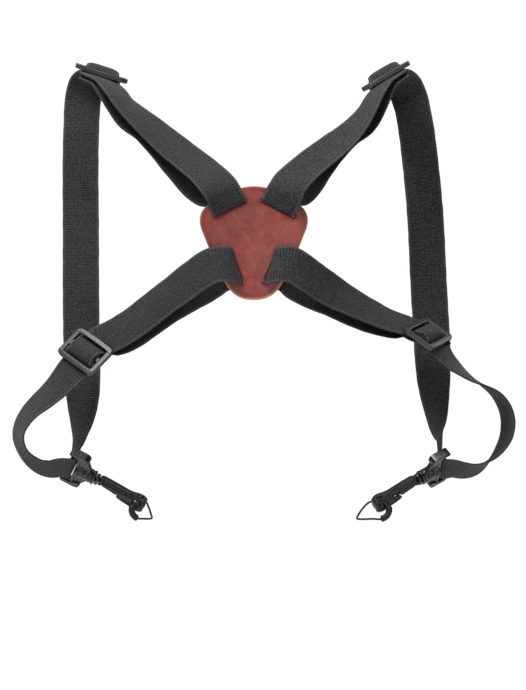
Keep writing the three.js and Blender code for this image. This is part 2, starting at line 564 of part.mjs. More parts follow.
// ---- tri-glide sliders ----
// Local axes: x across the strap, y along it, z through the frame.
const SLIDER_W = 34.5;            // across the strap
const SLIDER_L = 23.0;            // along the strap
const SLIDER_T = 2.2;
const SLIDER_CORNER_R = 3.2;
const SLIDER_BEVEL = 0.5;
const SLIDER_RAIL = 3.2;
const SLIDER_BAR = 3.0;
const SLIDER_WINDOW_W = 27.5;
const SLIDER_WINDOW_L = SLIDER_L / 2 - SLIDER_RAIL - SLIDER_BAR / 2;
const SLIDER_WINDOW_CORNER_R = 1.3;

const roundRect = (path, width, height, radius, centreY = 0) => {
  const right = width / 2;
  const top = centreY + height / 2;
  const bottom = centreY - height / 2;
  const quarter = Math.PI / 2;
  path.moveTo(-right + radius, bottom);
  path.lineTo(right - radius, bottom);
  path.absarc(right - radius, bottom + radius, radius, -quarter, 0, false);
  path.lineTo(right, top - radius);
  path.absarc(right - radius, top - radius, radius, 0, quarter, false);
  path.lineTo(-right + radius, top);
  path.absarc(-right + radius, top - radius, radius, quarter, 2 * quarter, false);
  path.lineTo(-right, bottom + radius);
  path.absarc(-right + radius, bottom + radius, radius, 2 * quarter, 3 * quarter, false);
  return path;
};

const sliderGeometry = () => {
  const bevel = SLIDER_BEVEL;
  const shape = roundRect(
    new THREE.Shape(), SLIDER_W - 2 * bevel, SLIDER_L - 2 * bevel, SLIDER_CORNER_R,
  );
  for (const side of [-1, 1]) {
    shape.holes.push(roundRect(
      new THREE.Path(), SLIDER_WINDOW_W + 2 * bevel, SLIDER_WINDOW_L + 2 * bevel,
      SLIDER_WINDOW_CORNER_R, side * (SLIDER_BAR / 2 + SLIDER_WINDOW_L / 2),
    ));
  }
  const geometry = new THREE.ExtrudeGeometry(shape, {
    depth: SLIDER_T - 2 * bevel,
    bevelThickness: bevel,
    bevelSize: bevel,
    bevelSegments: 1,
    curveSegments: 4,
  });
  return geometry.translate(0, 0, bevel - SLIDER_T / 2);
};

for (const [name, place] of Object.entries(SLIDERS)) {
  const across = vector(place.across);
  const along = vector(place.along);
  const out = new THREE.Vector3().crossVectors(across, along);
  const frame = addFrame(`${name}_frame`, vector(place.centre), across, along, out);
  addMesh(name, sliderGeometry(), sliderPlastic(), frame);
}

// ---- swivel eye and stem ----
// Local axes of the eye: x along the swivel axis, y the eye bar, z their cross product.
// Distances along x are from the eye bar.
const EYE_BAR_R = 1.4;            // round bar the webbing turns on
const EYE_OUTER_W = 33.6;
const EYE_WINDOW_W = 27.4;
const EYE_DEPTH = 6.0;
const EYE_BEVEL = 0.8;
const EYE_WINDOW_FROM = -6;       // clear of the yoke, so the window is open on this side
const EYE_WINDOW_TO = 4.9;
const BARREL_R = 4.6;
const BARREL_FROM = 5.3;
const BARREL_TO = 19.4;
const BARREL_GROOVES = [13.1, 16.2];  // where each groove starts
const GROOVE_DEPTH = 0.45;
const PIN_R = 1.5;
const PIN_HEAD_R = 2.7;
const BORE = { radius: 1.9, length: 16, centreX: 15, segments: 24 };
const HEAD_ROOM = { radius: 3.1, length: 2.1, centreX: 7.15, segments: 24 };
// Pin with its head in the barrel and its flange past the barrel's end (radius, distance)
const STEM_PROFILE = [
  [0, 6.3], [1.9, 6.3], [PIN_HEAD_R, 6.8], [PIN_HEAD_R, 7.9], [PIN_R, 7.9], [PIN_R, 19.75],
  [3.6, 19.75], [4.1, 20.2], [4.1, 21.7], [3.6, 22.2], [0, 22.2],
];

const latheAlongX = (profile, segments) =>
  new THREE.LatheGeometry(vectors2(profile), segments).rotateZ(-Math.PI / 2);

const cylinderAlongX = ({ radius, length, centreX, segments }) =>
  new THREE.CylinderGeometry(radius, radius, length, segments)
    .rotateZ(Math.PI / 2)
    .translate(centreX, 0, 0);

const yokeGeometry = () => {
  const half = EYE_OUTER_W / 2 - EYE_BEVEL;
  const upperSide = [
    [-1.8, half - 0.8], [-1.0, half], [8.6, half], [10.4, half - 0.7], [11.4, half - 2.4],
    [11.9, half - 5.0], [13.6, half - 8.2], [15.4, 5.0], [15.6, 3.6],
  ];
  const lowerSide = upperSide.map(([x, y]) => [x, -y]).reverse();
  const shape = new THREE.Shape(vectors2([...upperSide, ...lowerSide]));
  const geometry = new THREE.ExtrudeGeometry(shape, {
    depth: EYE_DEPTH - 2 * EYE_BEVEL,
    bevelThickness: EYE_BEVEL,
    bevelSize: EYE_BEVEL,
    bevelSegments: 2,
    curveSegments: 5,
  });
  return geometry.translate(0, 0, EYE_BEVEL - EYE_DEPTH / 2);
};

const barrelGeometry = () => {
  const grooves = BARREL_GROOVES.flatMap((start) => [
    [BARREL_R, start], [BARREL_R - GROOVE_DEPTH, start + 0.3],
    [BARREL_R - GROOVE_DEPTH, start + 0.9], [BARREL_R, start + 1.2],
  ]);
  return latheAlongX([
    [0, BARREL_FROM], [BARREL_R - 0.6, BARREL_FROM], [BARREL_R, BARREL_FROM + 0.6],
    ...grooves,
    [BARREL_R, BARREL_TO - 0.5], [BARREL_R - 0.5, BARREL_TO], [0, BARREL_TO],
  ], 28);
};

const eyeGeometry = () => {
  const window = new THREE.BoxGeometry(
    EYE_WINDOW_TO - EYE_WINDOW_FROM, EYE_WINDOW_W, EYE_DEPTH + 2,
  );
  window.translate((EYE_WINDOW_TO + EYE_WINDOW_FROM) / 2, 0, 0);
  const bar = new THREE.CylinderGeometry(EYE_BAR_R, EYE_BAR_R, EYE_WINDOW_W + 2, 20);
  return toGeometry(toSolid(yokeGeometry())
    .subtract(toSolid(window))
    .add(toSolid(bar))
    .add(toSolid(barrelGeometry()))
    .subtract(toSolid(cylinderAlongX(BORE)))
    .subtract(toSolid(cylinderAlongX(HEAD_ROOM))));
};

// ---- hook body and gate ----
// Outlines in the hook's plane: distance along the swivel axis from the eye bar, sideways offset
const HOOK = {
  thick: 5.0,
  bevel: 0.5,
  outline: [
    [22.6, -3.7], [24.2, -4.3], [30, -4.2], [38, -3.9], [44, -3.6], [47.5, -3.9], [50.2, -4.6],
    [53.2, -4.8], [55.8, -3.9], [57.4, -1.6], [58.0, 1.2], [57.4, 4.0], [55.4, 6.1],
    [52.4, 6.9], [49.4, 6.5], [46.4, 6.1], [42, 5.7], [38.6, 5.2], [37.6, 4.7], [37.6, 2.95],
    [39.6, 2.8], [44, 2.6], [48.4, 2.75], [50.6, 2.95], [51.8, 2.95], [52.7, 2.4], [53.1, 1.4],
    [52.7, 0.4], [51.6, -0.2], [50.2, 0.1], [49.0, 1.0], [47.6, 1.65], [44, 1.75], [42.4, 1.5],
    [41.4, 0.95], [39, 0.7], [33, 0.25], [25.4, -0.7], [24.9, -0.3], [24.9, 2.4], [24.2, 3.0],
    [22.6, 3.0],
  ],
};
const GATE = {
  thick: 4.2,
  bevel: 0.3,
  outline: [
    [25.4, -0.1], [27.5, 0.15], [33, 0.95], [38, 1.4], [40.2, 1.65], [40.6, 2.0], [40.2, 2.35],
    [37.3, 2.5], [37.0, 3.3], [36.2, 3.7], [33, 3.3], [27.5, 2.9], [25.4, 2.5],
  ],
};

const flatPartGeometry = ({ outline, thick, bevel }) => {
  const geometry = new THREE.ExtrudeGeometry(new THREE.Shape(vectors2(outline)), {
    depth: thick - 2 * bevel,
    bevelThickness: bevel,
    bevelSize: bevel,
    bevelOffset: -bevel,
    bevelSegments: 2,
    curveSegments: 6,
  });
  return geometry.translate(0, 0, bevel - thick / 2);
};

// ---- cord loop and sleeve ----
const CORD_R = 0.7;
const SLEEVE_R = 2.2;
const SLEEVE_BORE_R = 1.15;
const SLEEVE_END_INSET = 0.25;    // the outer radius is less by this at both ends
const SLEEVE_ROWS = 10;
const CURVE_FRAMES = 520;

const cordCurve = ({ cord, throughSign }) => {
  const points = cord.map(([x, y, z]) => new THREE.Vector3(x, y, z * throughSign));
  const curve = new THREE.CatmullRomCurve3(points, true, 'centripetal');
  curve.arcLengthDivisions = 800;
  return curve;
};

// Carries a geometry round the curve. place() turns a vertex into the fraction of the curve's
// length and the offsets along the curve's normal and binormal there.
const bend = (geometry, curve, place) => {
  const { normals, binormals } = curve.computeFrenetFrames(CURVE_FRAMES, true);
  const position = geometry.attributes.position;
  for (let k = 0; k < position.count; k++) {
    const { fraction, u, v } = place(position.getX(k), position.getY(k), position.getZ(k));
    const i = Math.round(fraction * CURVE_FRAMES) % CURVE_FRAMES;
    const point = curve.getPointAt(fraction)
      .addScaledVector(normals[i], u)
      .addScaledVector(binormals[i], v);
    position.setXYZ(k, point.x, point.y, point.z);
  }
  geometry.computeVertexNormals();
  return geometry;
};

const cordGeometry = (curve) => {
  const tube = 0.1;               // tube radius of the unit ring before it is bent
  return bend(new THREE.TorusGeometry(1, tube, 8, 84), curve, (x, y, z) => ({
    fraction: (Math.atan2(y, x) / (2 * Math.PI) + 1) % 1,
    u: ((Math.hypot(x, y) - 1) / tube) * CORD_R,
    v: (-z / tube) * CORD_R,
  }));
};

const sleeveGeometry = (curve, { from, to }) => {
  const profile = [];
  for (let i = 0; i <= SLEEVE_ROWS; i++) {
    const atEnd = i === 0 || i === SLEEVE_ROWS;
    profile.push([SLEEVE_R - (atEnd ? SLEEVE_END_INSET : 0), i / SLEEVE_ROWS]);
  }
  for (let i = SLEEVE_ROWS; i >= 0; i--) profile.push([SLEEVE_BORE_R, i / SLEEVE_ROWS]);
  profile.push(profile[0]);
  const tube = new THREE.LatheGeometry(vectors2(profile), 14);
  return bend(tube, curve, (x, y, z) => ({ fraction: from + (to - from) * y, u: x, v: -z }));
};

// ---- hook ends ----
for (const [side, end] of Object.entries(HOOK_ENDS)) {
  const origin = vector(end.bar);
  const axis = vector(end.axis).normalize();
  const across = vector(end.across);
  across.addScaledVector(axis, -across.dot(axis)).normalize();
  const eyeNormal = new THREE.Vector3().crossVectors(axis, across);
  const eye = addFrame(`eye_frame_${side}`, origin, axis, across, eyeNormal);
  addMesh(`hook_eye_${side}`, eyeGeometry(), hookPlastic(), eye);

  // The hook's plane stands upright: its y is sideways and down, its z goes through the hook.
  const down = new THREE.Vector3(0, 0, -1).addScaledVector(axis, axis.z).normalize();
  const through = new THREE.Vector3().crossVectors(axis, down);
  const hook = addFrame(`hook_frame_${side}`, origin, axis, down, through);
  addMesh(`swivel_stem_${side}`, latheAlongX(STEM_PROFILE, 24), hookPlastic(), hook);
  addMesh(`hook_body_${side}`, flatPartGeometry(HOOK), hookPlastic(), hook);
  addMesh(`gate_tongue_${side}`, flatPartGeometry(GATE), hookPlastic(), hook);
  const curve = cordCurve(end);
  addMesh(`lug_cord_${side}`, cordGeometry(curve), cordFabric(), hook);
  addMesh(`cord_sleeve_${side}`, sleeveGeometry(curve, end.sleeve), cordFabric(), hook);
}

group.updateMatrixWorld(true);
export default group;
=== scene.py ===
# A carrying harness: two woven straps cross a leather plate, and each runs on through an upper
# slider, a swivel snap hook and a lower slider.
# The plate stands upright at the origin. -x is "left", +x "right", -y the front, +z up.
# Shapes are worked out in millimetres and stored in metres.
import math
from collections import namedtuple

import bmesh
import bpy
import numpy as np
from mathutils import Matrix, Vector


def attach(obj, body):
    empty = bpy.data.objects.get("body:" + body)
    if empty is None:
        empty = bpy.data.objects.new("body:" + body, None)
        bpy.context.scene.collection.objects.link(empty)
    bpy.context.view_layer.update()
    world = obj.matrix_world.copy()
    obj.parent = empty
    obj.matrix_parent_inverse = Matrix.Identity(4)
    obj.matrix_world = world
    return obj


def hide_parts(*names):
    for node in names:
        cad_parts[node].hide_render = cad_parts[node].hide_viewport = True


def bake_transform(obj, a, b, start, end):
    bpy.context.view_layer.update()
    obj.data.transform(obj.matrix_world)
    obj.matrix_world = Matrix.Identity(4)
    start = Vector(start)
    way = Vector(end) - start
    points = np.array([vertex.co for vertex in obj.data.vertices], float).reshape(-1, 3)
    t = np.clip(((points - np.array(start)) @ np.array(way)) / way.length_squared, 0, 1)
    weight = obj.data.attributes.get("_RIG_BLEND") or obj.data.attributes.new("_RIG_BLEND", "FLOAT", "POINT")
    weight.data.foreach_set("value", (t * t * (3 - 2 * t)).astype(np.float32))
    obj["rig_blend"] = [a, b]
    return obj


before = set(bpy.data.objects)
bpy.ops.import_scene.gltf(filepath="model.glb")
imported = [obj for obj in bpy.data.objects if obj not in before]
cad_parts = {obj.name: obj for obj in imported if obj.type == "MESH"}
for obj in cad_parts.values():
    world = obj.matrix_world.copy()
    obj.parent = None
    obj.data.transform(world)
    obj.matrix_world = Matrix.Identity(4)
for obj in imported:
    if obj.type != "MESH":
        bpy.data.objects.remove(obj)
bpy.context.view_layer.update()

MM = 0.001
scene = bpy.context.scene

# ------------------------------------------------------------------ hardware frames (mm)
# along: the way the strap runs; normal: out of the slider's flat; across: over the strap's width
Slider = namedtuple("Slider", "centre along normal across")
UPPER_LEFT = Slider(
    (-102.069, 41, 115.269), (-0.0266, -0.9962, -0.083),
    (0.3039, -0.0872, 0.9487), (0.9523, 0, -0.3051))
UPPER_RIGHT = Slider(
    (88.1376, 41, 113.663), (0.0441, -0.9962, -0.0752),
    (-0.5039, -0.0872, 0.8594), (-0.8627, 0, -0.5058))
LOWER_LEFT = Slider(
    (-111.934, 30, -70.4883), (0.6682, 0.2468, 0.7018),
    (-0.2793, -0.7911, 0.5442), (0.6896, -0.5596, -0.4597))
LOWER_RIGHT = Slider(
    (115.452, 29, -58.7419), (-0.7628, 0.2921, 0.577),
    (0.4227, -0.4499, 0.7867), (-0.4894, -0.8439, -0.2197))
# centre: middle of the bar the strap turns round; axis: from the bar to the tip of the hook
Eye = namedtuple("Eye", "centre axis across")
EYE_LEFT = Eye((-124.691, 56, -147.092), (0.8879, 0, -0.46), (0.3006, -0.757, 0.5802))
EYE_RIGHT = Eye((127.795, 56, -147.295), (-0.8338, -0.3399, -0.4349), (0.0221, -0.8078, 0.589))

# ------------------------------------------------------------------ strap stations (mm)
# Each station is x, y, z of the centre line, x, y, z of the direction across, and the width.
FULL_WIDTH = 25


def held(across, width, *points):
    """Stations that hardware holds to one direction across."""
    return [(*point, *across, width) for point in points]


def free(*rows):
    """Full-width stations, each x, y, z and its direction across."""
    return [(*row, FULL_WIDTH) for row in rows]


def mirrored(rows):
    return [(-x, y, z, -ax, ay, az, width) for x, y, z, ax, ay, az, width in rows]


# through the plate's slots, on the left side
UPPER_SLOT_RUN = [
    (-21.04, 4.8, 34.11, 0.8934, 0, 0.4493, 24.6), (-18.79, 3.4, 29.65, 0.8934, 0, 0.4493, 24.17),
    (-17, 2.5, 26.07, 0.8934, 0, 0.4493, 23.78), (-15.96, 1.75, 24.02, 0.8934, 0, 0.4493, 23.56),
    (-15.4, 0.9, 22.9, 0.8934, 0, 0.4493, 23.44), (-15.2, -2.2, 22.5, 0.8934, 0, 0.4493, 23.4),
    (-15.4, -5.3, 22.9, 0.8934, 0.0004, 0.4493, 23.44),
    (-15.96, -6.2, 24.02, 0.8934, 0.0055, 0.4493, 23.56),
    (-17, -7, 26.07, 0.893, 0.0307, 0.4491, 23.78),
    (-18.79, -8.2, 29.65, 0.8867, 0.122, 0.446, 24.17),
    (-20.82, -9.3, 33.67, 0.8557, 0.2873, 0.4304, 24.6),
]
LOWER_SLOT_RUN = [
    (-11.62, -5.3, -15.57, 0.3859, -0.0005, -0.9225, 23.44),
    (-11.2, -2.2, -15.4, 0.3859, 0, -0.9225, 23.4), (-11.62, 0.9, -15.57, 0.3859, 0, -0.9225, 23.44),
    (-12.77, 1.75, -16.06, 0.3859, 0, -0.9225, 23.56),
    (-14.89, 2.5, -16.94, 0.3859, 0, -0.9225, 23.78),
    (-18.58, 3.4, -18.49, 0.3859, 0, -0.9225, 24.17),
    (-23.19, 4.8, -20.42, 0.3859, 0, -0.9225, 24.6),
]
# where the strap passes each slot: x from the middle, y, z
UPPER_SLOT_CENTRE = (15.2, -2.2, 22.5)
LOWER_SLOT_CENTRE = (11.2, -2.2, -15.4)

STRAP_LEFT = [
    # loose end, folded over the upper slider
    *held(UPPER_LEFT.across, 24.2,
          (-103.9, 28.48, 109.54), (-103.79, 30.45, 109.9), (-103.5, 33.38, 110.81)),
    *held(UPPER_LEFT.across, 22.6,
          (-103.03, 36.06, 112.28), (-102.53, 37.62, 113.84), (-102.05, 38.13, 115.32),
          (-101.59, 38.86, 116.76), (-101.37, 40.8, 117.45), (-101.48, 42.84, 117.09),
          (-101.93, 43.82, 115.69), (-102.52, 43.44, 113.85), (-103.04, 41.28, 112.23),
          (-103.76, 37.47, 110)),
    *held(UPPER_LEFT.across, 24.2, (-104.15, 33.57, 108.77), (-104.39, 29.62, 108.01)),
    # to the plate, through its upper slot and back
    *free(
        (-98.08, 23, 104.08, 0.7391, 0.6492, -0.1798), (-93.73, 17.5, 97.5, 0.501, 0.8617, 0.0802),
        (-87.95, 14.8, 88.65, 0.4315, 0.843, 0.3211), (-81.65, 13.8, 80.67, 0.4707, 0.7911, 0.3906),
        (-73.43, 13.6, 74.08, 0.3998, 0.8696, 0.2899), (-62.27, 13.4, 63.56, 0.4616, 0.8229, 0.3312),
        (-49.77, 12.6, 51.16, 0.6185, 0.6584, 0.429), (-37.96, 12.5, 40.4, 0.7407, 0.3203, 0.5906),
        (-28.37, 9.4, 34.21, 0.7594, -0.04, 0.6494)),
    *UPPER_SLOT_RUN,
    *free(
        (-25.69, -8, 39.95, 0.789, 0.4142, 0.4537), (-32.94, -3, 47.47, 0.7293, 0.5125, 0.4533),
        (-42.84, 2, 55.68, 0.6954, 0.5464, 0.4669), (-54.71, 5.5, 65.12, 0.6576, 0.5979, 0.4584),
        (-65.9, 7.5, 74.79, 0.5405, 0.7106, 0.4504), (-75.73, 8, 83.66, 0.4494, 0.799, 0.3995),
        (-83.54, 9.5, 91.67, 0.3895, 0.8638, 0.3196), (-89.6, 13, 99.61, 0.4405, 0.891, 0.1101),
        (-94.93, 20.5, 105.76, 0.7001, 0.7001, -0.14)),
    # over the upper slider again
    *held(UPPER_LEFT.across, 24.8,
          (-103.27, 29.3, 111.52), (-103.12, 31.97, 111.98), (-102.91, 33.51, 112.64),
          (-102.48, 34.69, 113.98), (-101.81, 35.71, 116.07)),
    *held(UPPER_LEFT.across, 24.4,
          (-101.02, 37.49, 118.55), (-100.58, 40.57, 119.92), (-100.85, 43.86, 119.08)),
    *held(UPPER_LEFT.across, 24.8,
          (-101.54, 46.07, 116.93), (-102.14, 47.45, 115.04), (-102.5, 48.85, 113.92),
          (-102.63, 50.5, 113.53), (-102.63, 53.21, 113.51), (-102.61, 56.21, 113.57)),
    # down the outside to the hook's eye
    *free(
        (-105.59, 63.5, 117.01, 0.9513, 0.1214, -0.2834),
        (-109.92, 71, 116.58, 0.9614, 0.1619, -0.2226),
        (-114.99, 77, 111.91, 0.9908, 0.0607, -0.1213),
        (-117.53, 79.5, 103.63, 0.9988, -0.04, -0.03), (-118.6, 76, 81.3, 0.9929, -0.1191, 0),
        (-118.91, 75.5, 53.84, 0.995, -0.0995, 0), (-118.78, 74, 16.08, 0.9982, -0.0599, 0),
        (-118.39, 71, -21.65, 0.9998, -0.02, 0), (-117.86, 68, -55.82, 1, 0, 0),
        (-117.08, 66, -76.25, 0.9988, -0.0499, 0), (-116.55, 64.5, -93.24, 0.9757, -0.219, 0),
        (-116.6, 63.5, -106.81, 0.8779, -0.4789, 0),
        (-117.47, 62.5, -118.32, 0.6758, -0.7354, 0.0497),
        (-118.74, 61.5, -127.79, 0.4614, -0.8726, 0.1605),
        (-120.53, 61, -136.79, 0.3009, -0.8827, 0.3611)),
    *held(EYE_LEFT.across, 24.4,
          (-121.78, 56.81, -147.54), (-122.51, 55.32, -149.11), (-124.46, 54.21, -149.55)),
    # from the eye to the lower slider
    *free(
        (-130.21, 53.6, -148.78, 0.1612, -0.8363, 0.524), (-137.43, 53.6, -149.86, 0, -0.8412, 0.5408),
        (-145.13, 53, -147.8, 0.1221, -0.8752, 0.4681), (-151.66, 51, -142.5, 0.2659, -0.9205, 0.2864),
        (-156.15, 49, -136.01, 0.3416, -0.9344, 0.1005), (-158.02, 46.5, -128.83, 0.3818, -0.9243, 0),
        (-156.93, 44, -121.02, 0.379, -0.9176, -0.1197),
        (-152.58, 41, -113.21, 0.3795, -0.8987, -0.2197),
        (-146.19, 37.5, -105.95, 0.4009, -0.8721, -0.2807),
        (-138.16, 34, -99.33, 0.4834, -0.8057, -0.3424),
        (-130.55, 31, -92.62, 0.5623, -0.7229, -0.4016),
        (-125.08, 29.3, -87.14, 0.6327, -0.6428, -0.4319)),
    *held(LOWER_LEFT.across, 24.8,
          (-121.09, 28.75, -82.7), (-119.14, 29.33, -80.49), (-117.41, 29.8, -78.46),
          (-116.49, 29.76, -77.04), (-115.99, 29.05, -75.42), (-115.77, 27.69, -73.43),
          (-114.99, 26.6, -70.94), (-113.12, 26.64, -68.18), (-110.72, 28.18, -66.45),
          (-108.82, 30.26, -66.13), (-107.43, 32.21, -66.43), (-106.2, 33.56, -66.23),
          (-104.98, 34.39, -65.4), (-103.11, 35.26, -63.64)),
    # to the plate, through its lower slot and back
    *free(
        (-98.57, 34.3, -61.71, 0.5638, -0.584, -0.584), (-92.05, 31.5, -58.73, 0.4858, -0.587, -0.6477),
        (-84.12, 27, -54.11, 0.4518, -0.5622, -0.6927), (-74.51, 21, -47.76, 0.4727, -0.5431, -0.694),
        (-63.56, 13, -39.67, 0.4805, -0.5405, -0.6907), (-51.47, 6, -30.46, 0.4811, -0.5513, -0.6816),
        (-40.68, -4.2, -22.75, 0.4208, -0.4608, -0.7814),
        (-32.76, -9.2, -17.61, 0.319, -0.3589, -0.8772)),
    (-25.61, -11.6, -14.34, 0.261, -0.2811, -0.9235, 24.6),
    (-19.47, -12, -13.71, 0.3019, -0.1812, -0.936, 24.2),
    (-14.92, -10.8, -14.38, 0.3598, -0.08, -0.9296, 23.8),
    (-12.11, -8.3, -15.19, 0.3861, -0.02, -0.9222, 23.5),
    *LOWER_SLOT_RUN,
    *free(
        (-26.71, 8, -22.89, 0.3625, -0.1007, -0.9265), (-35.95, 11, -28.7, 0.3604, -0.2002, -0.911),
        (-46.61, 16, -34.48, 0.4009, -0.2807, -0.8721), (-58.02, 21, -41.3, 0.4606, -0.3605, -0.8111),
        (-69.52, 26.5, -49.48, 0.4801, -0.4201, -0.7701),
        (-79.12, 32, -56.4, 0.4851, -0.4851, -0.7276), (-88.09, 37, -61.04, 0.5377, -0.5377, -0.6494),
        (-93.59, 39.3, -62.36, 0.5873, -0.5569, -0.5873)),
    # other loose end, folded over the lower slider
    *held(LOWER_LEFT.across, 24.6,
          (-102.07, 38.18, -65.66), (-104.87, 36.84, -68.22), (-107.81, 35.1, -70.51),
          (-111.04, 32.53, -72.23), (-113, 30.78, -73.03), (-113.89, 29.14, -72.38),
          (-113.76, 28.12, -70.94), (-112.58, 28.18, -69.24), (-111.09, 29.11, -68.13),
          (-110.11, 30.47, -68.32), (-109.26, 31.81, -68.68), (-107.7, 33.42, -68.31),
          (-105.47, 35.14, -67.05), (-103.27, 36.43, -65.33), (-101.88, 37.09, -64.03)),
]
